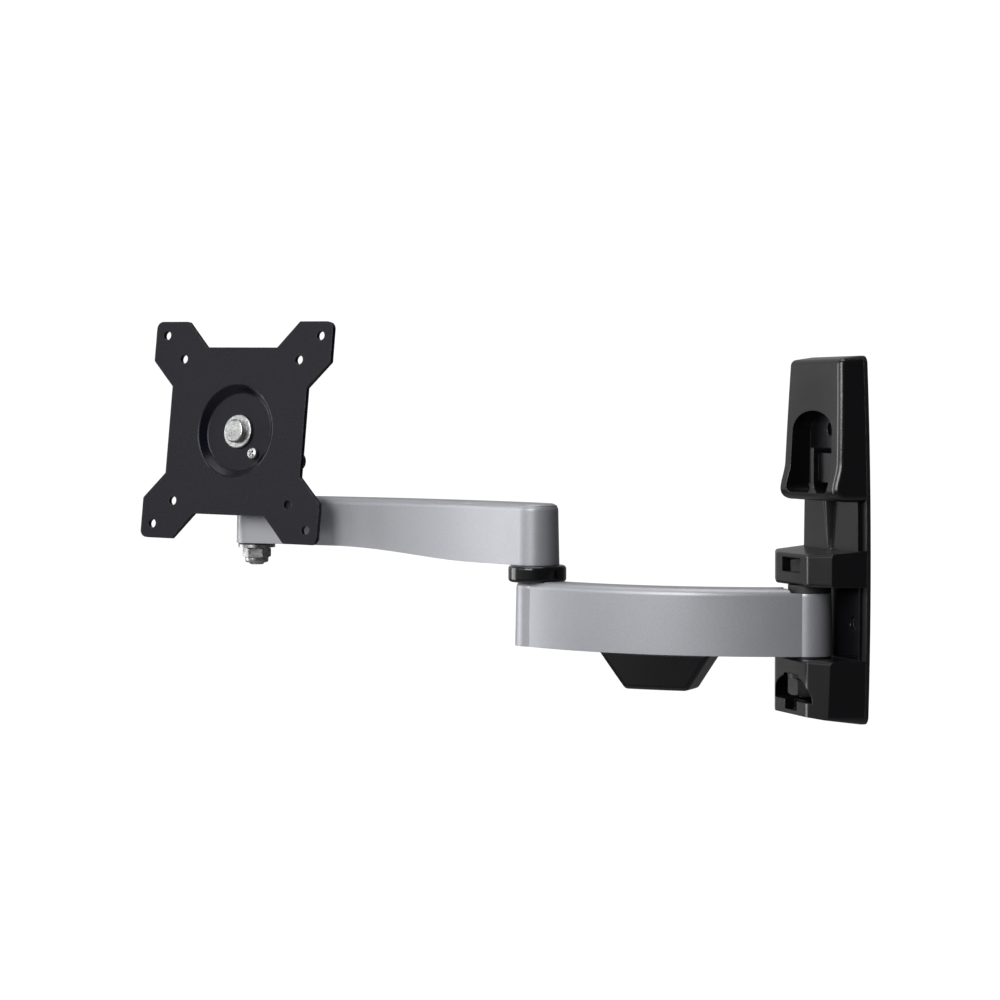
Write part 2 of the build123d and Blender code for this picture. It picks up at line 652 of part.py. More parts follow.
def wall_bushes():
    """Upper and lower bushes of the wall pivot; their flanges take the thrust."""
    inner = PIVOT_RADIUS + RUNNING_GAP
    upper = bush(BUSH_RADIUS, inner, WALL_SEAT - BUSH_LENGTH, WALL_SEAT + WELD,
                 BUSH_FLANGE_RADIUS, WALL_SEAT, UPPER_LUG_FOOT - FACE_GAP)
    lower = bush(BUSH_RADIUS, inner, LOWER_ARM_FOOT - WELD, LOWER_ARM_FOOT + BUSH_LENGTH,
                 BUSH_FLANGE_RADIUS, LOWER_BLOCK_TOP + FACE_GAP, LOWER_ARM_FOOT)
    return lower_arm_place() * upper, lower_arm_place() * lower


def elbow_bushes():
    """Plain bushes of the elbow, pressed into the lower arm's barrel."""
    inner = PIVOT_RADIUS + RUNNING_GAP
    floor = LOWER_ARM_FOOT + ELBOW_HEAD_WELL
    upper = ring(BUSH_RADIUS, inner, COLLAR_FOOT - BUSH_LENGTH, COLLAR_FOOT)
    lower = ring(BUSH_RADIUS, inner, floor, COLLAR_FOOT - BUSH_LENGTH - ELBOW_BUSH_GAP)
    place = lower_arm_place() * Pos(LOWER_ARM_LENGTH, 0, 0)
    return place * upper, place * lower


def elbow_collar():
    collar = ring(COLLAR_RADIUS, PIVOT_RADIUS + RUNNING_GAP, COLLAR_FOOT, UPPER_ARM_FOOT - FACE_GAP)
    rims = collar.edges().filter_by(GeomType.CIRCLE).filter_by(lambda e: e.radius > PIVOT_RADIUS + OVERRUN)
    collar = fillet(rims, COLLAR_EDGE)
    return lower_arm_place() * Pos(LOWER_ARM_LENGTH, 0, 0) * collar


def clip_band(half_width):
    face = bowed_slot(LOWER_ARM_LENGTH, LOWER_ARM_BOW, half_width)
    return Pos(0, 0, LOWER_ARM_FOOT) * extrude(face, 2 * CLIP_HEIGHT, both=True)


def clip_wedge(wall):
    """Side view of the trough as a solid; with a wall thickness it is the space inside instead."""
    top = LOWER_ARM_FOOT + OVERRUN if wall else LOWER_ARM_FOOT - FACE_GAP
    foot = LOWER_ARM_FOOT - CLIP_HEIGHT + wall
    half_top = CLIP_TOP_LENGTH / 2 - wall * CLIP_TOP_INSET
    half_foot = CLIP_FOOT_LENGTH / 2 - wall * CLIP_FOOT_INSET
    outer_foot = half_foot - CLIP_FOOT_SETBACK
    face = make_face(Polyline(
        (-half_top, top), (-half_foot, foot), (outer_foot, foot), (half_top, top), close=True))
    face = fillet(face.vertices().group_by(Axis.Y)[0], CLIP_CORNER)
    return Pos(CLIP_CENTRE, 0, 0) * extrude(Plane.XZ * face, WIDE, both=True)


def cable_clip():
    """A boat-shaped cable trough that snaps up into the lower arm with two legs."""
    outer = clip_wedge(0) & clip_band(CLIP_HALF_WIDTH)
    low_edges = outer.edges().filter_by(lambda e: e.center().Z < LOWER_ARM_FOOT - CLIP_HEIGHT * 2 / 3)
    outer = fillet(low_edges.filter_by(lambda e: e.length > CLIP_FOOT_LENGTH / 2), CLIP_EDGE)
    inner = clip_wedge(CLIP_WALL) & clip_band(CLIP_HALF_WIDTH - CLIP_WALL)
    outside = ARM_HALF_WIDTH - ARM_WALL - CLIP_LEG_GAP
    legs = bowed_slot(LOWER_ARM_LENGTH, LOWER_ARM_BOW, outside)
    legs -= bowed_slot(LOWER_ARM_LENGTH, LOWER_ARM_BOW, outside - CLIP_LEG_THICKNESS)
    legs &= Pos(CLIP_CENTRE, 0) * Rectangle(CLIP_LEG_LENGTH, WIDE)
    legs = Pos(0, 0, LOWER_ARM_FOOT - CLIP_LEG_ROOT) * extrude(legs, CLIP_LEG_HEIGHT + CLIP_LEG_ROOT)
    return lower_arm_place() * (outer - inner + legs)


def below_upper_arm(length, foot):
    """The space under the upper arm, whose foot rises in a long curve towards the head."""
    low, high = foot - OVERRUN, HEAD_BARREL_FOOT
    end = length + 2 * HEAD_BARREL_RADIUS
    rise = Spline([(UPPER_ARM_DEEP_END, foot), (UPPER_ARM_SLIM_START, high)], tangents=[(1, 0), (1, 0)])
    rest = Polyline(rise @ 1, (end, high), (end, low), (UPPER_ARM_DEEP_END, low), rise @ 0)
    return extrude(Plane.XZ * make_face(Curve() + [rise, rest]), WIDE, both=True)


def upper_arm():
    foot, top = UPPER_ARM_FOOT, UPPER_ARM_TOP
    length = UPPER_ARM_LENGTH
    arm = drafted(bowed_slot(length, UPPER_ARM_BOW, ARM_HALF_WIDTH), foot, top)
    arm -= below_upper_arm(length, foot)
    arm -= arm_core(length, UPPER_ARM_BOW, foot, top, UPPER_RIB_RISE, UPPER_RIB_PLACES)
    arm += rod(ELBOW_BOSS_RADIUS, foot, top - OVERRUN)
    arm -= rod(PIVOT_RADIUS + SEAT_GAP, foot - OVERRUN, foot + ELBOW_THREAD_DEPTH + OVERRUN)
    arm -= Pos(length, 0, 0) * rod(HEAD_BUSH_RADIUS + SEAT_GAP, foot - OVERRUN, top + OVERRUN)
    return upper_arm_place() * arm


def elbow_bolt():
    top = ELBOW_SEAT - ELBOW_WASHER_THICKNESS
    low = top - ELBOW_HEAD_HEIGHT
    head = rod(ELBOW_HEAD_RADIUS, low, top)
    head = fillet(head.edges().group_by(Axis.Z)[0], SMALL_EDGE)
    head -= hexagon(ELBOW_KEY_FLATS, low - OVERRUN, low + ELBOW_KEY_DEPTH)
    shank = rod(PIVOT_RADIUS, top - OVERRUN, UPPER_ARM_FOOT + ELBOW_THREAD_DEPTH)
    shank = chamfer(shank.edges().group_by(Axis.Z)[-1], SMALL_EDGE)
    return upper_arm_place() * (head + shank)


def elbow_washer():
    return upper_arm_place() * ring(
        ELBOW_HEAD_RADIUS, PIVOT_RADIUS + SEAT_GAP, ELBOW_SEAT - ELBOW_WASHER_THICKNESS, ELBOW_SEAT)


# ---- Swivel head ----

def head_bushes():
    """Flanged bushes of the head swivel, above and below the upper arm's barrel."""
    inner = SWIVEL_BOLT_RADIUS + RUNNING_GAP
    upper = bush(HEAD_BUSH_RADIUS, inner, UPPER_ARM_TOP - HEAD_BUSH_LENGTH, UPPER_ARM_TOP + WELD,
                 HEAD_BARREL_RADIUS, UPPER_ARM_TOP, SWIVEL_BASE)
    lower = bush(HEAD_BUSH_RADIUS, inner, HEAD_BARREL_FOOT - WELD, HEAD_BARREL_FOOT + HEAD_BUSH_LENGTH,
                 LOWER_FLANGE_RADIUS, HEAD_BARREL_FOOT - SWIVEL_LOWER_FLANGE, HEAD_BARREL_FOOT)
    place = upper_arm_place() * Pos(UPPER_ARM_LENGTH, 0, 0)
    return place * upper, place * lower


def bracket_ear(side):
    """One ear of the swivel bracket: straight from the base, round about the tilt axis."""
    drop = TILT_AXIS_Z - BRACKET_BASE_LOW
    face = Circle(EAR_RADIUS) + Pos(0, -drop / 2) * Rectangle(2 * EAR_RADIUS, drop)
    y = side * (SWIVEL_BRACKET_HALF_WIDTH - BRACKET_SHEET / 2)
    return Pos(0, y, TILT_AXIS_Z) * extrude(Plane.XZ * face, BRACKET_SHEET / 2, both=True)


def swivel_bracket():
    plan = RectangleRounded(2 * SWIVEL_BASE_HALF_DEPTH, 2 * SWIVEL_BRACKET_HALF_WIDTH, BRACKET_BEND)
    bracket = Pos(0, 0, BRACKET_BASE_LOW) * extrude(plan, BRACKET_SHEET) + bracket_ear(-1) + bracket_ear(1)
    corners = bracket.edges().filter_by(Axis.X).filter_by(
        lambda e: abs(abs(e.center().Y) - SWIVEL_EAR_INNER) < FACE_GAP
        and abs(e.center().Z - BRACKET_BASE_HIGH) < FACE_GAP)
    bracket = fillet(corners, BRACKET_BEND)
    bracket -= rod(SWIVEL_BOLT_RADIUS + SEAT_GAP, SWIVEL_BASE, BRACKET_BASE_HIGH + OVERRUN)
    return swivel_place() * bracket - on_tilt_axis(rod(TILT_BOLT_RADIUS + RUNNING_GAP, -WIDE, WIDE))


def swivel_bolt():
    seat = BRACKET_BASE_HIGH
    end = SWIVEL_NUT_TOP - SWIVEL_NUT_HEIGHT - SWIVEL_BOLT_TAIL
    head = chamfered_hexagon(SWIVEL_NUT_FLATS, seat, seat + SWIVEL_HEAD_HEIGHT, at_bottom=False)
    shank = rod(SWIVEL_BOLT_RADIUS, end, seat + OVERRUN)
    shank = chamfer(shank.edges().group_by(Axis.Z)[0], SMALL_EDGE)
    return swivel_place() * (head + shank)


def swivel_washer():
    return swivel_place() * ring(
        SWIVEL_WASHER_RADIUS, SWIVEL_BOLT_RADIUS + SEAT_GAP, SWIVEL_NUT_TOP, SWIVEL_WASHER_TOP)


def lock_nut(flats, bolt_radius, bottom, top):
    """A locking nut: hexagon with a round collar that holds its nylon ring, hanging below the hexagon."""
    split = bottom + (top - bottom) * NUT_COLLAR_SHARE
    body = chamfered_hexagon(flats, split, top)
    collar = rod(flats / 2 - NUT_COLLAR_INSET, bottom, split + WELD)
    collar = fillet(collar.edges().group_by(Axis.Z)[0], NUT_COLLAR_EDGE)
    return body + collar - rod(bolt_radius, bottom - OVERRUN, top + OVERRUN)


def swivel_nut():
    foot = SWIVEL_NUT_TOP - SWIVEL_NUT_HEIGHT
    return swivel_place() * lock_nut(SWIVEL_NUT_FLATS, SWIVEL_BOLT_RADIUS + SEAT_GAP, foot, SWIVEL_NUT_TOP)


def on_tilt_axis(shape):
    """Turns a shape made along +Z so that it lies along the tilt axis, to the screen's right."""
    return swivel_place() * Pos(0, 0, TILT_AXIS_Z) * Rot(-90, 0, 0) * shape


def tilt_bolt():
    head = chamfered_hexagon(TILT_HEAD_FLATS, -TILT_SEAT - TILT_HEAD_HEIGHT, -TILT_SEAT, at_top=False)
    shank = rod(TILT_BOLT_RADIUS, -TILT_SEAT - OVERRUN, TILT_SEAT + TILT_NUT_HEIGHT + TILT_BOLT_TAIL)
    shank = chamfer(shank.edges().group_by(Axis.Z)[-1], SMALL_EDGE)
    return on_tilt_axis(head + shank)


def tilt_nut():
    nut = lock_nut(TILT_HEAD_FLATS, TILT_BOLT_RADIUS + SEAT_GAP, -TILT_SEAT - TILT_NUT_HEIGHT, -TILT_SEAT)
    return on_tilt_axis(Rot(180, 0, 0) * nut)


def tilt_washers():
    washer = ring(TILT_WASHER_RADIUS, TILT_BOLT_RADIUS + SEAT_GAP, SWIVEL_BRACKET_HALF_WIDTH, TILT_SEAT)
    return Compound(children=[on_tilt_axis(washer), on_tilt_axis(Rot(180, 0, 0) * washer)])


# ---- Tilting head: drawn forward along +X from the tilt axis ----

def on_roll_axis(shape):
    """Turns a shape made along +Z so that it lies along the screen plate's normal."""
    return tilt_place() * Pos(0, 0, PLATE_CENTRE_RISE) * Rot(0, 90, 0) * shape


def friction_washers():
    inner = TILT_BOLT_RADIUS + RUNNING_GAP
    washer = ring(FRICTION_WASHER_RADIUS, inner, CARRIER_HALF_WIDTH, SWIVEL_EAR_INNER - FACE_GAP)
    return Compound(children=[tilt_place() * Rot(turn, 0, 0) * washer for turn in (-90, 90)])


def carrier_ear(side, face_low):
    """One ear of the carrier: a web from its face back to a round end about the tilt axis."""
    front = CARRIER_FRONT - OVERRUN
    web = Polyline(
        (0, -EAR_RADIUS), (front, face_low + CARRIER_EAR_LOW), (front, EAR_RADIUS + CARRIER_EAR_RISE),
        (0, EAR_RADIUS), close=True)
    face = make_face(web) + Circle(CARRIER_EAR_RADIUS)
    y = side * (CARRIER_HALF_WIDTH - BRACKET_SHEET / 2)
    return Pos(0, y, 0) * extrude(Plane.XZ * face, BRACKET_SHEET / 2, both=True)


def tilt_carrier():
    """The inner bracket: a face behind the screen plate and two ears back to the tilt axis."""
    face_low = PLATE_CENTRE_RISE - CARRIER_FACE_LOW
    face_high = PLATE_CENTRE_RISE + CARRIER_FACE_HALF_HEIGHT
    sheet = Box(
        BRACKET_SHEET, 2 * CARRIER_HALF_WIDTH, face_high - face_low,
        align=(Align.MIN, Align.CENTER, Align.MIN))
    face = Pos(CARRIER_BACK, 0, face_low) * sheet
    face = fillet(face.edges().filter_by(Axis.X), CARRIER_CORNER)
    carrier = face + carrier_ear(-1, face_low) + carrier_ear(1, face_low)
    carrier -= Rot(-90, 0, 0) * rod(TILT_BOLT_RADIUS + RUNNING_GAP, -WIDE, WIDE)
    roll_axis = Pos(0, 0, PLATE_CENTRE_RISE)
    roll_hole = rod(ROLL_BOLT_RADIUS + SEAT_GAP, CARRIER_BACK - OVERRUN, PLATE_FRONT)
    carrier -= roll_axis * Rot(0, 90, 0) * roll_hole
    carrier -= roll_axis * Rot(SCREEN_ROLL, 0, 0) * lock_slot()
    return tilt_place() * carrier


def across_at(forward):
    """A plane across the roll axis, for faces drawn in Y and Z."""
    return Plane(origin=(forward, 0, 0), x_dir=(0, 1, 0), z_dir=(1, 0, 0))


def lock_slot():
    """An arc slot about the roll axis in which the lock screw's tip runs."""
    y, z = LOCK_SCREW_PLACE
    radius = sqrt(y * y + z * z)
    width = 2 * (LOCK_SCREW_RADIUS + LOCK_SLOT_GAP)
    start = Vector(y, z).get_signed_angle(Vector(1, 0, 0), Vector(0, 0, -1))
    arc = CenterArc((0, 0), radius, start - LOCK_TRAVEL, 2 * LOCK_TRAVEL)
    return extrude(across_at(CARRIER_BACK - OVERRUN) * SlotArc(arc, width), BRACKET_SHEET + 2 * OVERRUN)


def roll_washer():
    return on_roll_axis(ring(
        ROLL_WASHER_RADIUS, ROLL_BOLT_RADIUS + SEAT_GAP, CARRIER_FRONT, DISH_BACK - RUNNING_GAP))


def roll_bolt():
    """The large flanged bolt in the middle of the dish, with a flat round boss on its flange."""
    seat = DISH_FRONT + RUNNING_GAP
    flange = rod(ROLL_FLANGE_RADIUS, seat, seat + ROLL_FLANGE_THICKNESS)
    flange = fillet(flange.edges().group_by(Axis.Z)[-1], ROLL_FLANGE_EDGE)
    boss_top = seat + ROLL_FLANGE_THICKNESS + ROLL_BOSS_HEIGHT
    boss = rod(ROLL_BOSS_RADIUS, seat, boss_top)
    boss = fillet(boss.edges().group_by(Axis.Z)[-1], ROLL_BOSS_EDGE)
    shank = rod(ROLL_BOLT_RADIUS, ROLL_NUT_TOP - ROLL_NUT_HEIGHT - ROLL_BOLT_TAIL, seat + WELD)
    return on_roll_axis(flange + boss + shank)


def roll_nut():
    foot = ROLL_NUT_TOP - ROLL_NUT_HEIGHT
    nut = chamfered_hexagon(SWIVEL_NUT_FLATS, foot, ROLL_NUT_TOP)
    return on_roll_axis(nut - rod(ROLL_BOLT_RADIUS + SEAT_GAP, foot, ROLL_NUT_TOP))


def roll_nut_washer():
    return on_roll_axis(ring(ROLL_NUT_WASHER_RADIUS, ROLL_BOLT_RADIUS + SEAT_GAP, ROLL_NUT_TOP, CARRIER_BACK))


# ---- Screen plate: drawn in Y and Z about the roll axis ----

def plate_face():
    """Front outline of the plate: a square with a notch in each side, which leaves four ears."""
    half, body = PLATE_HALF_SIZE, PLATE_BODY_HALF
    corner = [
        (EAR_INNER, body), (EAR_SLOPE_OUTER, half), (half, half), (half, EAR_SLOPE_OUTER), (body, EAR_INNER)]
    points = list(corner)
    points += [(y, -z) for y, z in reversed(corner)]
    points += [(-y, -z) for y, z in corner]
    points += [(-y, z) for y, z in reversed(corner)]
    face = make_face(Polyline(*points, close=True))
    tips = face.vertices().filter_by(lambda v: abs(v.X * v.Y) > half * EAR_SLOPE_OUTER + WELD)
    face = fillet(tips, EAR_CORNER)
    shoulders = face.vertices().filter_by(
        lambda v: abs(max(abs(v.X), abs(v.Y)) - half) < SEAT_GAP
        and abs(min(abs(v.X), abs(v.Y)) - EAR_SLOPE_OUTER) < SEAT_GAP)
    return fillet(shoulders, EAR_SHOULDER)


def through_plate(radius, y, z):
    return Pos(0, y, z) * Rot(0, 90, 0) * rod(radius, 0, PLATE_FRONT + OVERRUN)


def dish_back():
    """The pressed dish seen from behind, as a turned solid."""
    rim = PLATE_FRONT - PLATE_THICKNESS
    outer = DISH_RADIUS + DISH_RIM_SPREAD
    profile = Polyline(
        (0, DISH_BACK), (DISH_FLOOR_RADIUS + DISH_BACK_SPREAD, DISH_BACK), (outer, rim), (outer, rim + WELD),
        (0, rim + WELD), close=True)
    return turned_dish(profile, DISH_BACK_EDGE)


def dish_face():
    """The space inside the dish, open to the front."""
    front = PLATE_FRONT + OVERRUN
    profile = Polyline(
        (0, DISH_FRONT), (DISH_FLOOR_RADIUS + DISH_FACE_SPREAD, DISH_FRONT), (DISH_RADIUS, PLATE_FRONT),
        (DISH_RADIUS, front), (0, front), close=True)
    return turned_dish(profile, DISH_FACE_EDGE)


def turned_dish(profile, edge):
    turned = revolve(Plane.XZ * make_face(profile), Axis.Z)
    rims = turned.edges().filter_by(GeomType.CIRCLE).group_by(Axis.Z)[0]
    return Rot(0, 90, 0) * fillet(rims, edge)


def screen_plate():
    plate = extrude(across_at(PLATE_FRONT - PLATE_THICKNESS) * plate_face(), PLATE_THICKNESS)
    plate = plate + dish_back() - dish_face()
    rims = plate.edges().filter_by(GeomType.CIRCLE)
    lip = rims.filter_by(lambda e: abs(e.radius - DISH_RADIUS) < SEAT_GAP).group_by(Axis.X)[-1]
    plate = fillet(lip, DISH_LIP_EDGE)
    plate -= through_plate(ROLL_BOLT_RADIUS + RUNNING_GAP, 0, 0)
    plate -= through_plate(LOCK_SCREW_RADIUS + SEAT_GAP, *LOCK_SCREW_PLACE)
    for pitch in (VESA_LARGE, VESA_SMALL):
        for y in (-pitch / 2, pitch / 2):
            for z in (-pitch / 2, pitch / 2):
                plate -= through_plate(VESA_HOLE_RADIUS, y, z)
    return roll_place() * plate


def lock_screw():
    y, z = LOCK_SCREW_PLACE
    seat = DISH_FRONT
    head = rod(LOCK_HEAD_RADIUS, seat, seat + LOCK_HEAD_HEIGHT)
    head = fillet(head.edges().group_by(Axis.Z)[-1], LOCK_HEAD_EDGE)
    cross = Box(CROSS_LENGTH, CROSS_WIDTH, 2 * CROSS_DEPTH) + Box(CROSS_WIDTH, CROSS_LENGTH, 2 * CROSS_DEPTH)
    head -= Pos(0, 0, seat + LOCK_HEAD_HEIGHT) * cross
    screw = head + rod(LOCK_SCREW_RADIUS, CARRIER_BACK - LOCK_SINK, seat + WELD)
    return roll_place() * Pos(0, y, z) * Rot(0, 90, 0) * screw


def save(shape, name):
    export_step(shape, "parts/" + name + ".step")


def build():
    os.makedirs("parts", exist_ok=True)
    upper_wall_bush, lower_wall_bush = wall_bushes()
    upper_elbow_bush, lower_elbow_bush = elbow_bushes()
    upper_head_bush, lower_head_bush = head_bushes()
    nodes = {
        "wall_plate": wall_plate(),
        "wall_housing": wall_housing(),
        "housing_screws": housing_screws(),
        "wall_pivot_bolt": wall_pivot_bolt(),
        "wall_pivot_washer": wall_pivot_washer(),
        "wall_pivot_nut": wall_pivot_nut(),
        "lower_arm": lower_arm(),
        "upper_wall_bush": upper_wall_bush,
        "lower_wall_bush": lower_wall_bush,
        "upper_elbow_bush": upper_elbow_bush,
        "lower_elbow_bush": lower_elbow_bush,
        "elbow_collar": elbow_collar(),
        "cable_clip": cable_clip(),
        "upper_arm": upper_arm(),
        "elbow_bolt": elbow_bolt(),
        "elbow_washer": elbow_washer(),
        "upper_head_bush": upper_head_bush,
        "lower_head_bush": lower_head_bush,
        "swivel_bracket": swivel_bracket(),
        "swivel_bolt": swivel_bolt(),
        "swivel_washer": swivel_washer(),
        "swivel_nut": swivel_nut(),
        "tilt_bolt": tilt_bolt(),
        "tilt_nut": tilt_nut(),
        "tilt_washers": tilt_washers(),
        "friction_washers": friction_washers(),
        "tilt_carrier": tilt_carrier(),
        "roll_washer": roll_washer(),
        "roll_bolt": roll_bolt(),
        "roll_nut": roll_nut(),
        "roll_nut_washer": roll_nut_washer(),
        "screen_plate": screen_plate(),
        "lock_screw": lock_screw(),
    }
    for name, shape in nodes.items():
        save(shape, name)


build()
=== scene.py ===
import json
from math import atan2, cos, pi, radians, sin

import bmesh
import bpy
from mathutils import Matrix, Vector


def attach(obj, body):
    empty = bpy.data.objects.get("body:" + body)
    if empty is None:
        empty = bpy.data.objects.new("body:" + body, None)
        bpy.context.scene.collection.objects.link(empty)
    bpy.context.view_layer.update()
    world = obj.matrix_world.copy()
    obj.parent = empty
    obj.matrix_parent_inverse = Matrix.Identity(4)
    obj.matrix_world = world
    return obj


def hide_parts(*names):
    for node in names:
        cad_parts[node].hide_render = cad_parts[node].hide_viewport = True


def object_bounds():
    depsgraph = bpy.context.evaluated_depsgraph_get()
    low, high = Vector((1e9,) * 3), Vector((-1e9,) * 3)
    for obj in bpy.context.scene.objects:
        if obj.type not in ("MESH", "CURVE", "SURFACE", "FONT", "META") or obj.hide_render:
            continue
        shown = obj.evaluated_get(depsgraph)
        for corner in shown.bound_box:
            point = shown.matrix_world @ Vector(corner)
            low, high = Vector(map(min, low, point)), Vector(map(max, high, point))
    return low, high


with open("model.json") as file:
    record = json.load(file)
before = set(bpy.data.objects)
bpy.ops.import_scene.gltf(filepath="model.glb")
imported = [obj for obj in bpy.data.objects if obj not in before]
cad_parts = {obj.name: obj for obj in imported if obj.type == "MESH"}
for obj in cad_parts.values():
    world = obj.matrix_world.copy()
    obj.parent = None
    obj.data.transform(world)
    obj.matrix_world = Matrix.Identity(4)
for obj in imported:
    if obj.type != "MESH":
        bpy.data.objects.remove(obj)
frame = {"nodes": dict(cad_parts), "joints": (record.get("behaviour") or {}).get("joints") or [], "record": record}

CAD_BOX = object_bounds()
MM = 0.001

# ---- Camera: a long lens a little above the arms, looking along the wall and slightly down ----
CAMERA_PLACE = Vector((1.1382, -0.5933, 0.0593))
CAMERA_HEADING = radians(20.5)
CAMERA_DIP = radians(1.875)
CAMERA_LENS = 99.0
CAMERA_SENSOR = 36.0
CAMERA_NEAR = 0.05
CAMERA_FAR = 60.0

# ---- Fasteners made in full: sizes in millimetres ----
# node, joint whose axis it lies on, side of its head,
# width across flats, head height, shank radius, pitch, thread length
MACHINE_BOLTS = (
    ("wall_pivot_bolt", "wall_swing", 1, 17.0, 6.4, 5.0, 1.5, 18.0),
    ("swivel_bolt", "head_swivel", 1, 13.0, 5.3, 4.0, 1.25, 16.0),
    ("tilt_bolt", "screen_tilt", -1, 10.0, 4.0, 3.0, 1.0, 12.0),
)
# node, joint whose axis it lies on, side of its collar, width across flats, bolt radius
LOCK_NUTS = (
    ("swivel_nut", "head_swivel", -1, 13.0, 4.0),
    ("tilt_nut", "screen_tilt", 1, 10.0, 3.0),
)
AROUND = 72
AROUND_SCREW = 96
ROUND_STEPS = 6
SHARP_EDGE = radians(28)
ROWS_A_TURN = 8
# depth as a share of the pitch, then how wide and how steep the valley is
THREAD_DEPTH = 0.61
THREAD_WIDTH = 1.15
THREAD_FLANK = 1.3
# slope of a chamfer, and its circle's radius as a share of the width across flats
CHAMFER_SLOPE = 0.58
CHAMFER_RING = 0.475
SEAT_EDGE = 0.25
TAIL_CHAMFER = 0.7
# dished middle of a bolt's head: its two radii as shares of the chamfer's circle, and its depth
DISH_RIM = 0.8
DISH_FLOOR = 0.4
DISH_DEPTH = 0.15
# rolled collar of a lock nut: its share of the height, then its edge
COLLAR_SHARE = 0.32
COLLAR_INSET = 0.4
COLLAR_EDGE = 1.2
BORE_CHAMFER = 0.5
# nylon insert of a lock nut
RING_WALL = 1.0
RING_HEIGHT = 1.5
RING_SINK = 0.3
RING_SHOULDER = 0.4
RING_OUTER_EDGE = 0.2
RING_INNER_EDGE = 0.3
BORE_GAP = 0.05
# lock screw and its driver's cross
LOCK_SHANK = 2.0
LOCK_HEAD = 3.1
LOCK_HEAD_HEIGHT = 2.3
LOCK_DOME_EDGE = 1.1
LOCK_CROWN = 0.18
LOCK_PITCH = 0.7
CROSS_REACH = 1.8
CROSS_HALF_WIDTH = 0.45
CROSS_DEPTH = 1.4
CROSS_WALL = 0.12
CROSS_TAPER = 0.55
CROSS_TURN = radians(20)
FACE_STEP = 0.09

# ---- Studio ----
FLOOR_DROP = 1.25
FLOOR_HALF_SIZE = 9.0
FLOOR_GLOW = 1.06
FLOOR_GLOW_SHARE = 0.97
STAGE_WHITE = (1.0, 1.0, 1.0, 1.0)
ROOM_SEEN = 1.05
ROOM_DIM = 0.07
ROOM_BRIGHT = 0.42
# name, place, width, height, power in watts
SOFTBOXES = (
    ("camera_softbox", (1.05, -1.98, 0.85), 1.2, 1.2, 42.0),
    ("front_softbox", (-0.09, -1.91, 0.46), 0.9, 0.9, 3.2),
    ("side_softbox", (-1.41, -1.60, 0.10), 0.9, 1.5, 17.0),
    ("top_softbox", (-0.15, -0.35, 1.7), 1.6, 1.2, 16.0),
)

# ---- Finishes ----
BEVEL_SAMPLES = 4


def place_camera():
    """Sets the camera from its heading and dip, level from side to side."""
    lens = bpy.data.cameras.new("camera")
    lens.lens = CAMERA_LENS
    lens.sensor_width = CAMERA_SENSOR
    lens.clip_start = CAMERA_NEAR
    lens.clip_end = CAMERA_FAR
    camera = bpy.data.objects.new("camera", lens)
    camera.location = CAMERA_PLACE
    flat = cos(CAMERA_DIP)
    forward = Vector((-cos(CAMERA_HEADING) * flat, sin(CAMERA_HEADING) * flat, -sin(CAMERA_DIP)))
    camera.rotation_mode = "QUATERNION"
    camera.rotation_quaternion = forward.to_track_quat("-Z", "Y")
    bpy.context.collection.objects.link(camera)
    bpy.context.scene.camera = camera


# ---- Node helpers ----

def feed(tree, socket, value):
    """Gives a socket a value, or links it when the value is another node's output."""
    if isinstance(value, bpy.types.NodeSocket):
        tree.links.new(value, socket)
    else:
        socket.default_value = value


def add_node(tree, kind, inputs=None, **settings):
    """Adds a node with its settings, and feeds the sockets that are named or numbered."""
    made = tree.nodes.new(kind)
    for name, value in settings.items():
        setattr(made, name, value)
    for socket, value in (inputs or {}).items():
        feed(tree, made.inputs[socket], value)
    return made


def sums(tree, operation, first, second, clamp=False):
    """One step of arithmetic on two values."""
    step = add_node(tree, "ShaderNodeMath", {0: first, 1: second}, operation=operation, use_clamp=clamp)
    return step.outputs[0]


def spread(tree, value, low, high, to_low=0.0, to_high=1.0):
    """Maps low..high of a value onto to_low..to_high, and stops at the ends."""
    limits = {"Value": value, "From Min": low, "From Max": high, "To Min": to_low, "To Max": to_high}
    return add_node(tree, "ShaderNodeMapRange", limits).outputs[0]


def tint(tree, amount, first, second):
    """Mixes from the first colour to the second by the amount."""
    mix = tree.nodes.new("ShaderNodeMix")
    mix.data_type = "RGBA"
    feed(tree, mix.inputs[0], amount)
    feed(tree, mix.inputs[6], first)
    feed(tree, mix.inputs[7], second)
    return mix.outputs[2]


def noise(tree, where, scale, detail=2.0, roughness=0.5):
    """A noise value over the object's own coordinates."""
    return add_node(tree, "ShaderNodeTexNoise", {
        "Vector": where, "Scale": scale, "Detail": detail, "Roughness": roughness}).outputs[0]


def new_effect(name, inputs, outputs):
    """Starts a node group with float inputs. Returns its tree, its two ends and the object coordinates."""
    tree = bpy.data.node_groups.new(name, "ShaderNodeTree")
    for label, value in inputs.items():
        socket = tree.interface.new_socket(label, in_out="INPUT", socket_type="NodeSocketFloat")
        socket.default_value = value
    for label, kind in outputs.items():
        tree.interface.new_socket(label, in_out="OUTPUT", socket_type="NodeSocket" + kind)
    entry = tree.nodes.new("NodeGroupInput")
    leave = tree.nodes.new("NodeGroupOutput")
    where = tree.nodes.new("ShaderNodeTexCoord").outputs["Object"]
    return tree, entry.outputs, leave.inputs, where


def use_effect(tree, group, **inputs):
    """Places a shared effect in a material with the material's own values."""
    made = tree.nodes.new("ShaderNodeGroup")
    made.node_tree = group
    for name, value in inputs.items():
        feed(tree, made.inputs[name.replace("_", " ")], value)
    return made.outputs


# ---- Effects shared by the finishes ----

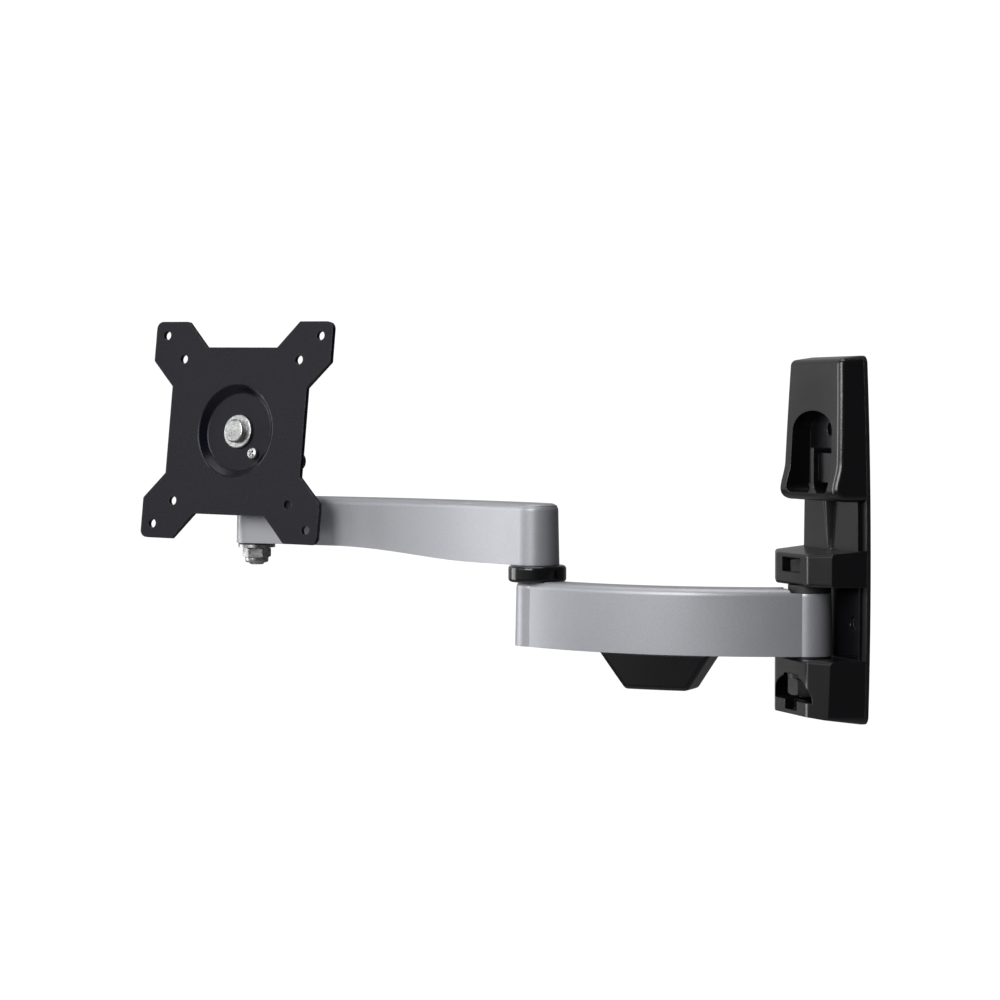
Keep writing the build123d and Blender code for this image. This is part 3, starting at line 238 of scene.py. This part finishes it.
def edge_wear_effect():
    """Mask of rubbed outer edges: found by rounding the normals, broken up by noise."""
    tree, entry, leave, where = new_effect("edge wear", {"Reach": 0.0006, "Amount": 0.5}, {"Mask": "Float"})
    rounded = add_node(tree, "ShaderNodeBevel", {"Radius": entry["Reach"]}, samples=BEVEL_SAMPLES).outputs[0]
    flat = tree.nodes.new("ShaderNodeNewGeometry").outputs["Normal"]
    facing = add_node(tree, "ShaderNodeVectorMath", {0: rounded, 1: flat}, operation="DOT_PRODUCT")
    edge = spread(tree, sums(tree, "SUBTRACT", 1.0, facing.outputs["Value"]), 0.02, 0.22)
    broken = spread(tree, noise(tree, where, 260.0, 4.0, 0.6), 0.38, 0.62)
    feed(tree, leave["Mask"], sums(tree, "MULTIPLY", sums(tree, "MULTIPLY", edge, broken), entry["Amount"]))
    return tree


def handling_effect():
    """Slow changes of gloss from moulding, wiping and finger marks."""
    tree, entry, leave, where = new_effect(
        "handling marks", {"Low": 0.3, "High": 0.4, "Size": 30.0}, {"Roughness": "Float"})
    slow = noise(tree, where, entry["Size"], 3.0, 0.55)
    fine = noise(tree, where, 900.0, 2.0, 0.6)
    mixed = sums(tree, "ADD", sums(tree, "MULTIPLY", slow, 0.8), sums(tree, "MULTIPLY", fine, 0.2))
    shaped = spread(tree, mixed, 0.35, 0.65, entry["Low"], entry["High"])
    feed(tree, leave["Roughness"], shaped)
    return tree


def powder_effect():
    """Fine pebbled skin of a powder coat, with its small tone changes."""
    tree, entry, leave, where = new_effect(
        "powder coat skin", {"Pebble": 1600.0}, {"Height": "Float", "Tone": "Float"})
    pebbles = add_node(tree, "ShaderNodeTexVoronoi", {"Vector": where, "Scale": entry["Pebble"]},
                       feature="SMOOTH_F1").outputs["Distance"]
    rolling = noise(tree, where, 420.0, 3.0, 0.5)
    height = sums(tree, "ADD", sums(tree, "MULTIPLY", pebbles, -0.7), sums(tree, "MULTIPLY", rolling, 0.6))
    feed(tree, leave["Height"], height)
    feed(tree, leave["Tone"], spread(tree, noise(tree, where, 1500.0, 2.0, 0.7), 0.4, 0.62))
    return tree


def flake_effect():
    """Metal flakes in a silver paint: small cells that each catch the light a little differently."""
    tree, entry, leave, where = new_effect(
        "paint flakes", {"Flake": 2600.0}, {"Sparkle": "Float", "Height": "Float"})
    cells = add_node(tree, "ShaderNodeTexVoronoi", {"Vector": where, "Scale": entry["Flake"]})
    grey = add_node(tree, "ShaderNodeRGBToBW", {0: cells.outputs["Color"]}).outputs[0]
    peel = noise(tree, where, 340.0, 2.0, 0.45)
    feed(tree, leave["Sparkle"], spread(tree, grey, 0.25, 0.85))
    feed(tree, leave["Height"], peel)
    return tree


def moulding_effect():
    """Skin of a gloss moulding: slow sink marks and a very fine texture from the tool."""
    tree, entry, leave, where = new_effect(
        "moulded skin", {"Wave": 38.0, "Grain": 2400.0}, {"Height": "Float"})
    wave = noise(tree, where, entry["Wave"], 1.0, 0.4)
    grain = noise(tree, where, entry["Grain"], 2.0, 0.6)
    feed(tree, leave["Height"], sums(tree, "ADD", sums(tree, "MULTIPLY", wave, 0.9),
                                     sums(tree, "MULTIPLY", grain, 0.1)))
    return tree


def settled_dust_effect():
    """Thin dust on faces that look up."""
    tree, entry, leave, where = new_effect("settled dust", {"Amount": 0.2}, {"Mask": "Float"})
    normal = tree.nodes.new("ShaderNodeNewGeometry").outputs["Normal"]
    up = add_node(tree, "ShaderNodeSeparateXYZ", {0: normal}).outputs["Z"]
    lying = spread(tree, up, 0.55, 0.98)
    patches = spread(tree, noise(tree, where, 120.0, 5.0, 0.65), 0.3, 0.75)
    dusty = sums(tree, "MULTIPLY", lying, patches)
    feed(tree, leave["Mask"], sums(tree, "MULTIPLY", dusty, entry["Amount"]))
    return tree


def plating_effect():
    """Cloudy tone of zinc plating, with fine marks from tumbling."""
    tree, entry, leave, where = new_effect(
        "zinc plating", {"Cloud": 210.0}, {"Tone": "Float", "Roughness": "Float", "Height": "Float"})
    cloud = noise(tree, where, entry["Cloud"], 4.0, 0.6)
    marks = noise(tree, where, 3200.0, 2.0, 0.7)
    specks = spread(tree, noise(tree, where, 1250.0, 3.0, 0.7), 0.40, 0.60)
    soft = sums(tree, "MULTIPLY", spread(tree, cloud, 0.35, 0.65), 0.45)
    feed(tree, leave["Tone"], sums(tree, "ADD", soft, sums(tree, "MULTIPLY", specks, 0.55), clamp=True))
    feed(tree, leave["Roughness"], spread(tree, cloud, 0.3, 0.7, 0.26, 0.42))
    feed(tree, leave["Height"], sums(tree, "ADD", sums(tree, "MULTIPLY", marks, 0.4),
                                     sums(tree, "MULTIPLY", specks, 0.6)))
    return tree


EDGE_WEAR = edge_wear_effect()
HANDLING = handling_effect()
POWDER = powder_effect()
FLAKES = flake_effect()
MOULDING = moulding_effect()
DUST = settled_dust_effect()
PLATING = plating_effect()


# ---- Finish of each slot ----

def new_finish(name, **constants):
    """A material with one principled shader; constants are set on the shader's own sockets."""
    material = bpy.data.materials.new(name)
    material.use_nodes = True
    tree = material.node_tree
    shader = tree.nodes["Principled BSDF"]
    for label, value in constants.items():
        shader.inputs[label.replace("_", " ")].default_value = value
    return material, tree, shader.inputs


def bumped(tree, height, depth, edge_radius):
    """A normal from a height in metres, over edges rounded by the given radius."""
    rounded = add_node(tree, "ShaderNodeBevel", {"Radius": edge_radius}, samples=BEVEL_SAMPLES).outputs[0]
    return add_node(tree, "ShaderNodeBump", {
        "Strength": 1.0, "Distance": depth, "Height": height, "Normal": rounded}).outputs[0]


def silver_arm_paint():
    """Silver paint of the two arms, with metal flakes."""
    material, tree, inputs = new_finish(
        "silver_arm_paint", Metallic=0.35, IOR=1.5, Coat_Weight=0.15, Coat_Roughness=0.25)
    flakes = use_effect(tree, FLAKES, Flake=5200.0)
    wear = use_effect(tree, EDGE_WEAR, Reach=0.0007, Amount=0.25)["Mask"]
    dust = use_effect(tree, DUST, Amount=0.10)["Mask"]
    paint = tint(tree, flakes["Sparkle"], (0.298, 0.301, 0.325, 1.0), (0.356, 0.360, 0.386, 1.0))
    rubbed = tint(tree, wear, paint, (0.56, 0.56, 0.57, 1.0))
    feed(tree, inputs["Base Color"], tint(tree, dust, rubbed, (0.55, 0.54, 0.52, 1.0)))
    feed(tree, inputs["Roughness"], use_effect(tree, HANDLING, Low=0.36, High=0.46, Size=26.0)["Roughness"])
    feed(tree, inputs["Normal"], bumped(tree, flakes["Height"], 0.00002, 0.0004))
    return material


def gloss_black(name, low, high):
    """Gloss black moulding, with its roughness between low and high."""
    material, tree, inputs = new_finish(name, IOR=1.5)
    wear = use_effect(tree, EDGE_WEAR, Reach=0.0005, Amount=0.30)["Mask"]
    dust = use_effect(tree, DUST, Amount=0.07)["Mask"]
    black = tint(tree, wear, (0.0035, 0.0035, 0.0045, 1.0), (0.040, 0.040, 0.043, 1.0))
    feed(tree, inputs["Base Color"], tint(tree, dust, black, (0.24, 0.24, 0.23, 1.0)))
    feed(tree, inputs["Roughness"], use_effect(tree, HANDLING, Low=low, High=high, Size=22.0)["Roughness"])
    skin = use_effect(tree, MOULDING, Wave=38.0, Grain=2400.0)["Height"]
    feed(tree, inputs["Normal"], bumped(tree, skin, 0.00006, 0.0006))
    return material


def charcoal_powder_coat():
    """Dark powder coat of the screen plate and the two brackets behind it."""
    material, tree, inputs = new_finish("charcoal_powder_coat", IOR=1.45, Specular_IOR_Level=0.23)
    powder = use_effect(tree, POWDER, Pebble=1500.0)
    # Edge mask, wider and stronger than on the other finishes: partly real edge wear, partly a painted highlight
    # along rounded edges such as the dish rim
    wear = use_effect(tree, EDGE_WEAR, Reach=0.0010, Amount=0.60)["Mask"]
    dust = use_effect(tree, DUST, Amount=0.08)["Mask"]
    coat = tint(tree, powder["Tone"], (0.0022, 0.0022, 0.0060, 1.0), (0.0050, 0.0050, 0.0105, 1.0))
    # Lighter grey on the masked edges: rubbed paint together with a painted rim highlight
    rubbed = tint(tree, wear, coat, (0.12, 0.12, 0.13, 1.0))
    feed(tree, inputs["Base Color"], tint(tree, dust, rubbed, (0.26, 0.25, 0.24, 1.0)))
    feed(tree, inputs["Roughness"], use_effect(tree, HANDLING, Low=0.24, High=0.33, Size=24.0)["Roughness"])
    feed(tree, inputs["Normal"], bumped(tree, powder["Height"], 0.00003, 0.0006))
    return material


def black_plate_paint():
    """Black paint of the steel plate on the wall."""
    material, tree, inputs = new_finish("black_plate_paint", IOR=1.45)
    powder = use_effect(tree, POWDER, Pebble=2100.0)
    wear = use_effect(tree, EDGE_WEAR, Reach=0.0005, Amount=0.6)["Mask"]
    coat = tint(tree, powder["Tone"], (0.007, 0.007, 0.008, 1.0), (0.012, 0.012, 0.013, 1.0))
    feed(tree, inputs["Base Color"], tint(tree, wear, coat, (0.16, 0.16, 0.17, 1.0)))
    feed(tree, inputs["Roughness"], use_effect(tree, HANDLING, Low=0.34, High=0.46, Size=30.0)["Roughness"])
    feed(tree, inputs["Normal"], bumped(tree, powder["Height"], 0.00003, 0.0003))
    return material


def zinc_plate():
    """Bright zinc plating, for most of the fasteners."""
    material, tree, inputs = new_finish("bright_zinc_plate", Metallic=1.0)
    plating = use_effect(tree, PLATING, Cloud=210.0)
    wear = use_effect(tree, EDGE_WEAR, Reach=0.0003, Amount=0.5)["Mask"]
    zinc = tint(tree, plating["Tone"], (0.17, 0.175, 0.18, 1.0), (0.60, 0.60, 0.59, 1.0))
    feed(tree, inputs["Base Color"], tint(tree, wear, zinc, (0.74, 0.74, 0.74, 1.0)))
    feed(tree, inputs["Roughness"], plating["Roughness"])
    feed(tree, inputs["Normal"], bumped(tree, plating["Height"], 0.00001, 0.00018))
    return material


def oxide_black():
    """Black oxide, for the fasteners of the wall pivot and of the tilt axis."""
    material, tree, inputs = new_finish("black_oxide_steel", Metallic=0.8)
    plating = use_effect(tree, PLATING, Cloud=260.0)
    wear = use_effect(tree, EDGE_WEAR, Reach=0.0003, Amount=0.7)["Mask"]
    oxide = tint(tree, plating["Tone"], (0.022, 0.022, 0.024, 1.0), (0.050, 0.049, 0.050, 1.0))
    feed(tree, inputs["Base Color"], tint(tree, wear, oxide, (0.24, 0.24, 0.25, 1.0)))
    feed(tree, inputs["Roughness"], plating["Roughness"])
    feed(tree, inputs["Normal"], bumped(tree, plating["Height"], 0.00001, 0.0002))
    return material


def acetal_bush():
    """Black acetal, for the bushes and the washers that rub."""
    material, tree, inputs = new_finish("black_acetal", IOR=1.48, Subsurface_Weight=0.02)
    skin = use_effect(tree, MOULDING, Wave=160.0, Grain=3000.0)["Height"]
    wear = use_effect(tree, EDGE_WEAR, Reach=0.0004, Amount=0.4)["Mask"]
    feed(tree, inputs["Base Color"], tint(tree, wear, (0.016, 0.016, 0.017, 1.0), (0.07, 0.07, 0.07, 1.0)))
    feed(tree, inputs["Roughness"], use_effect(tree, HANDLING, Low=0.42, High=0.56, Size=60.0)["Roughness"])
    feed(tree, inputs["Normal"], bumped(tree, skin, 0.00002, 0.0003))
    return material


def nylon_ring():
    """White nylon, for the lock nuts' inserts."""
    material, tree, inputs = new_finish("white_nylon", IOR=1.53, Subsurface_Weight=0.15)
    skin = use_effect(tree, MOULDING, Wave=300.0, Grain=3500.0)["Height"]
    cloud = spread(tree, skin, 0.35, 0.65)
    feed(tree, inputs["Base Color"], tint(tree, cloud, (0.55, 0.57, 0.60, 1.0), (0.68, 0.69, 0.70, 1.0)))
    feed(tree, inputs["Roughness"], use_effect(tree, HANDLING, Low=0.35, High=0.5, Size=200.0)["Roughness"])
    feed(tree, inputs["Normal"], bumped(tree, skin, 0.00002, 0.0002))
    return material


FINISHES = {
    "gloss_black_housing": gloss_black("gloss_black_housing", 0.17, 0.25),
    "gloss_black_trim": gloss_black("gloss_black_trim", 0.12, 0.20),
    "silver_paint": silver_arm_paint(),
    "charcoal_powder": charcoal_powder_coat(),
    "wall_plate_paint": black_plate_paint(),
    "bright_zinc": zinc_plate(),
    "black_oxide": oxide_black(),
    "acetal": acetal_bush(),
}
NYLON = nylon_ring()


def finish_nodes():
    """Gives every node of the frame the finish of its own slot."""
    for part in frame["record"]["subparts"]:
        shape = frame["nodes"][part["node"]]
        for slot in shape.material_slots:
            slot.material = FINISHES[part["material_slot"]]


# ---- Fasteners ----

def joint_line(name):
    """The point and direction of a joint's axis, in metres."""
    joint = next(j for j in frame["joints"] if j["name"] == name)
    return Vector(joint["pos_m"]), Vector(joint["axis"]).normalized()


def body_of(node):
    """The moving body that a node belongs to."""
    bodies = frame["record"]["behaviour"]["bodies"]
    return next(body for body, nodes in bodies.items() if node in nodes)


def slot_of(node):
    """The material slot of a node."""
    return next(p["material_slot"] for p in frame["record"]["subparts"] if p["node"] == node)


def span_along(node, origin, axis):
    """A node's lowest and highest point along an axis, in millimetres from the origin."""
    heights = [(v.co - origin).dot(axis) / MM for v in frame["nodes"][node].data.vertices]
    return min(heights), max(heights)


def cross_axes(axis):
    """Two directions square to an axis and to each other."""
    across = axis.orthogonal().normalized()
    return across, axis.cross(across)


def corner_turn(node, origin, axis):
    """The angle about the axis at which a node's farthest corner lies."""
    across, beside = cross_axes(axis)
    arms = [v.co - origin for v in frame["nodes"][node].data.vertices]
    far = max(arms, key=lambda arm: round((arm - axis * arm.dot(axis)).length, 6))
    return atan2(far.dot(beside), far.dot(across))


def turned_piece(name, rows, origin, axis, turn=0.0, around=AROUND, ring=False):
    """A closed mesh swept about an axis. Each row gives radius and height for an angle, in millimetres."""
    across, beside = cross_axes(axis)
    shape = bmesh.new()
    loops = []
    for row in rows:
        loop = []
        for step in range(around):
            angle = 2 * pi * step / around
            radius, height = row(angle)
            out = across * cos(angle + turn) + beside * sin(angle + turn)
            loop.append(shape.verts.new(origin + (out * radius + axis * height) * MM))
        loops.append(loop)
    pairs = list(zip(loops, loops[1:]))
    if ring:
        pairs.append((loops[-1], loops[0]))
    for low, high in pairs:
        for step in range(around):
            after = (step + 1) % around
            shape.faces.new((low[step], low[after], high[after], high[step]))
    if not ring:
        shape.faces.new(list(reversed(loops[0])))
        shape.faces.new(loops[-1])
    bmesh.ops.recalc_face_normals(shape, faces=shape.faces)
    for face in shape.faces:
        face.smooth = True
    for edge in shape.edges:
        edge.smooth = edge.calc_face_angle(0.0) < SHARP_EDGE
    mesh = bpy.data.meshes.new(name)
    shape.to_mesh(mesh)
    shape.free()
    piece = bpy.data.objects.new(name, mesh)
    bpy.context.collection.objects.link(piece)
    return piece


def circle_row(radius, height):
    """A plain circle."""
    return lambda angle: (radius, height)


def hexagon(flats, angle):
    """Distance from the middle of a hexagon to its outline; a flat faces angle 0."""
    return flats / 2 / cos((angle + pi / 6) % (pi / 3) - pi / 6)


def hexagon_row(flats, height, toward=0.0):
    """A hexagon's outline, its corners pulled back along the axis by a chamfer when toward isn't 0."""
    def row(angle):
        radius = hexagon(flats, angle)
        drop = max(0.0, radius - flats * CHAMFER_RING) * CHAMFER_SLOPE
        return radius, height - toward * drop
    return row


def rounded_edge(radius, height, edge):
    """A quarter round from the side of a piece at this radius to its end at this height."""
    rows = []
    for step in range(ROUND_STEPS + 1):
        bend = step / ROUND_STEPS * pi / 2
        rows.append(circle_row(radius - edge * (1 - cos(bend)), height - edge * (1 - sin(bend))))
    return rows


def thread_rows(radius, pitch, start, length):
    """A helical thread that fades in and out over one turn."""
    rows = []
    count = int(length / pitch * ROWS_A_TURN)
    for index in range(count + 1):
        height = start + length * index / count
        fade = min(1.0, (height - start) / pitch, (start + length - height) / pitch)

        def row(angle, height=height, fade=fade):
            phase = (height / pitch - angle / (2 * pi)) % 1.0
            valley = min(1.0, max(0.0, THREAD_WIDTH - abs(2 * phase - 1) * THREAD_FLANK))
            return radius - THREAD_DEPTH * pitch * valley * fade, height
        rows.append(row)
    return rows


def settle(piece, node):
    """Hides the plain node behind its full piece, on the same body and slot."""
    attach(piece, body_of(node))
    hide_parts(node)
    piece.data.materials.append(FINISHES[slot_of(node)])


def machine_bolt(node, joint, side, flats, head_height, shank, pitch, thread):
    """A hexagon bolt: chamfered tail, thread, plain shank, washer face and chamfered, dished head."""
    origin, axis = joint_line(joint)
    axis = axis * side
    tail, top = span_along(node, origin, axis)
    seat = top - head_height
    turn = corner_turn(node, origin, axis) + pi / 6
    neck = flats * CHAMFER_RING
    rows = [circle_row(shank - TAIL_CHAMFER, tail), circle_row(shank, tail + TAIL_CHAMFER)]
    rows += thread_rows(shank, pitch, tail + TAIL_CHAMFER, thread)[1:]
    rows += [circle_row(shank, seat), circle_row(neck, seat), circle_row(neck, seat + SEAT_EDGE),
             hexagon_row(flats, seat + SEAT_EDGE), hexagon_row(flats, top, 1.0),
             circle_row(neck, top), circle_row(neck * DISH_RIM, top - DISH_DEPTH),
             circle_row(neck * DISH_FLOOR, top - DISH_DEPTH)]
    settle(turned_piece(node + "_threaded", rows, origin, axis, turn), node)


def lock_nut(node, joint, side, flats, bolt):
    """A hexagon nut with a rolled collar that grips a nylon ring."""
    origin, axis = joint_line(joint)
    axis = axis * side
    seat, end = span_along(node, origin, axis)
    turn = corner_turn(node, origin, axis) + pi / 6
    bore = bolt + BORE_GAP
    neck = flats * CHAMFER_RING
    split = end - (end - seat) * COLLAR_SHARE
    collar = flats / 2 - COLLAR_INSET
    shelf = end - RING_SINK - RING_HEIGHT
    rows = [circle_row(bore, shelf), circle_row(bore, seat + BORE_CHAMFER),
            circle_row(bore + BORE_CHAMFER, seat), circle_row(neck, seat), hexagon_row(flats, seat, -1.0),
            hexagon_row(flats, split, 1.0), circle_row(collar, split)]
    rows += rounded_edge(collar, end, COLLAR_EDGE)
    rows += [circle_row(bore + RING_WALL, end - RING_SINK * RING_SHOULDER),
             circle_row(bore + RING_WALL, shelf)]
    settle(turned_piece(node + "_lock", rows, origin, axis, turn, ring=True), node)
    low, high = shelf + BORE_GAP, end - RING_SINK
    inner, outer = bore + BORE_GAP, bore + RING_WALL - BORE_GAP
    rows = [circle_row(inner, low), circle_row(outer, low), circle_row(outer, high - RING_OUTER_EDGE),
            circle_row(outer - RING_OUTER_EDGE, high), circle_row(inner + RING_INNER_EDGE, high),
            circle_row(inner, high - RING_INNER_EDGE)]
    insert = turned_piece(node + "_nylon_insert", rows, origin, axis, ring=True)
    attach(insert, body_of(node))
    insert.data.materials.append(NYLON)


def cross_drop(radius, angle):
    """Depth of the driver's cross at a point of the screw's face."""
    x, y = abs(radius * cos(angle)), abs(radius * sin(angle))
    long_way = min(CROSS_HALF_WIDTH - y, CROSS_REACH - x)
    other_way = min(CROSS_HALF_WIDTH - x, CROSS_REACH - y)
    inside = min(1.0, max(0.0, max(long_way, other_way) / CROSS_WALL))
    return inside * CROSS_DEPTH * (1 - CROSS_TAPER * radius / CROSS_REACH)


def lock_screw():
    """The small pan-head screw beside the bolt in the dish, with its driver's cross."""
    origin, axis = joint_line("screen_turn")
    across, beside = cross_axes(axis)
    arms = [v.co - origin for v in frame["nodes"]["lock_screw"].data.vertices]
    for way in (across, beside):
        spans = [arm.dot(way) for arm in arms]
        origin = origin + way * (min(spans) + max(spans)) / 2
    tail, top = span_along("lock_screw", origin, axis)
    seat = top - LOCK_HEAD_HEIGHT
    rows = [circle_row(LOCK_SHANK - LOCK_PITCH, tail), circle_row(LOCK_SHANK, tail + LOCK_PITCH)]
    rows += thread_rows(LOCK_SHANK, LOCK_PITCH, tail + LOCK_PITCH, seat - tail - LOCK_PITCH)[1:]
    rows.append(circle_row(LOCK_HEAD, seat))
    flat = LOCK_HEAD - LOCK_DOME_EDGE
    shoulder = top - LOCK_CROWN
    rows += rounded_edge(LOCK_HEAD, shoulder, LOCK_DOME_EDGE)
    for step in range(1, int(flat / FACE_STEP)):
        radius = flat - step * FACE_STEP

        def row(angle, radius=radius):
            crown = LOCK_CROWN * (1 - (radius / flat) ** 2)
            return radius, shoulder + crown - cross_drop(radius, angle)
        rows.append(row)
    head = turned_piece("lock_screw_cross_head", rows, origin, axis, CROSS_TURN, around=AROUND_SCREW)
    settle(head, "lock_screw")


# ---- Studio ----

def pale_floor():
    """A wide plain floor well below the mount."""
    height = CAD_BOX[0].z - FLOOR_DROP
    half = FLOOR_HALF_SIZE
    mesh = bpy.data.meshes.new("floor")
    corners = [(-half, -half, height), (half, -half, height), (half, half, height), (-half, half, height)]
    mesh.from_pydata(corners, [], [(0, 1, 2, 3)])
    floor = bpy.data.objects.new("floor", mesh)
    bpy.context.collection.objects.link(floor)
    material, tree, inputs = new_finish("floor_white", Roughness=0.9, Specular_IOR_Level=0.1)
    where = tree.nodes.new("ShaderNodeTexCoord").outputs["Object"]
    cloud = noise(tree, where, 2.0, 3.0)
    feed(tree, inputs["Base Color"], tint(tree, cloud, (0.42, 0.42, 0.42, 1.0), (0.40, 0.40, 0.40, 1.0)))
    glow = add_node(tree, "ShaderNodeEmission", {"Color": STAGE_WHITE, "Strength": FLOOR_GLOW})
    path = tree.nodes.new("ShaderNodeLightPath")
    share = sums(tree, "MULTIPLY", path.outputs["Is Camera Ray"], FLOOR_GLOW_SHARE)
    mix = add_node(tree, "ShaderNodeMixShader", {
        0: share, 1: tree.nodes["Principled BSDF"].outputs[0], 2: glow.outputs[0]})
    tree.links.new(mix.outputs[0], tree.nodes["Material Output"].inputs["Surface"])
    mesh.materials.append(material)


def white_room():
    """The surroundings: plain white to the eye, brighter on the room side than along the wall."""
    world = bpy.data.worlds.new("studio")
    world.use_nodes = True
    bpy.context.scene.world = world
    tree = world.node_tree
    tree.nodes.clear()
    around = tree.nodes.new("ShaderNodeTexCoord").outputs["Generated"]
    side = add_node(tree, "ShaderNodeSeparateXYZ", {0: around})
    across = sums(tree, "SUBTRACT", sums(tree, "MULTIPLY", side.outputs["X"], -0.75),
                  sums(tree, "MULTIPLY", side.outputs["Y"], 0.65))
    glow = spread(tree, across, -0.5, 0.8, ROOM_DIM, ROOM_BRIGHT)
    lit = add_node(tree, "ShaderNodeBackground", {"Color": STAGE_WHITE, "Strength": glow})
    seen = add_node(tree, "ShaderNodeBackground", {"Color": STAGE_WHITE, "Strength": ROOM_SEEN})
    path = tree.nodes.new("ShaderNodeLightPath")
    mix = add_node(tree, "ShaderNodeMixShader", {
        0: path.outputs["Is Camera Ray"], 1: lit.outputs[0], 2: seen.outputs[0]})
    output = tree.nodes.new("ShaderNodeOutputWorld")
    tree.links.new(mix.outputs[0], output.inputs["Surface"])


def softbox(name, place, width, height, power):
    """An oblong lamp that faces the middle of the mount."""
    light = bpy.data.lights.new(name, "AREA")
    light.shape = "RECTANGLE"
    light.size = width
    light.size_y = height
    light.energy = power
    lamp = bpy.data.objects.new(name, light)
    lamp.location = place
    lamp.rotation_mode = "QUATERNION"
    middle = (CAD_BOX[0] + CAD_BOX[1]) / 2
    lamp.rotation_quaternion = (middle - Vector(place)).to_track_quat("-Z", "Y")
    lamp.visible_camera = False
    bpy.context.collection.objects.link(lamp)


place_camera()
white_room()
for lamp in SOFTBOXES:
    softbox(*lamp)
pale_floor()
finish_nodes()
for bolt in MACHINE_BOLTS:
    machine_bolt(*bolt)
for nut in LOCK_NUTS:
    lock_nut(*nut)
lock_screw()
bpy.context.scene.view_settings.view_transform = "Standard"
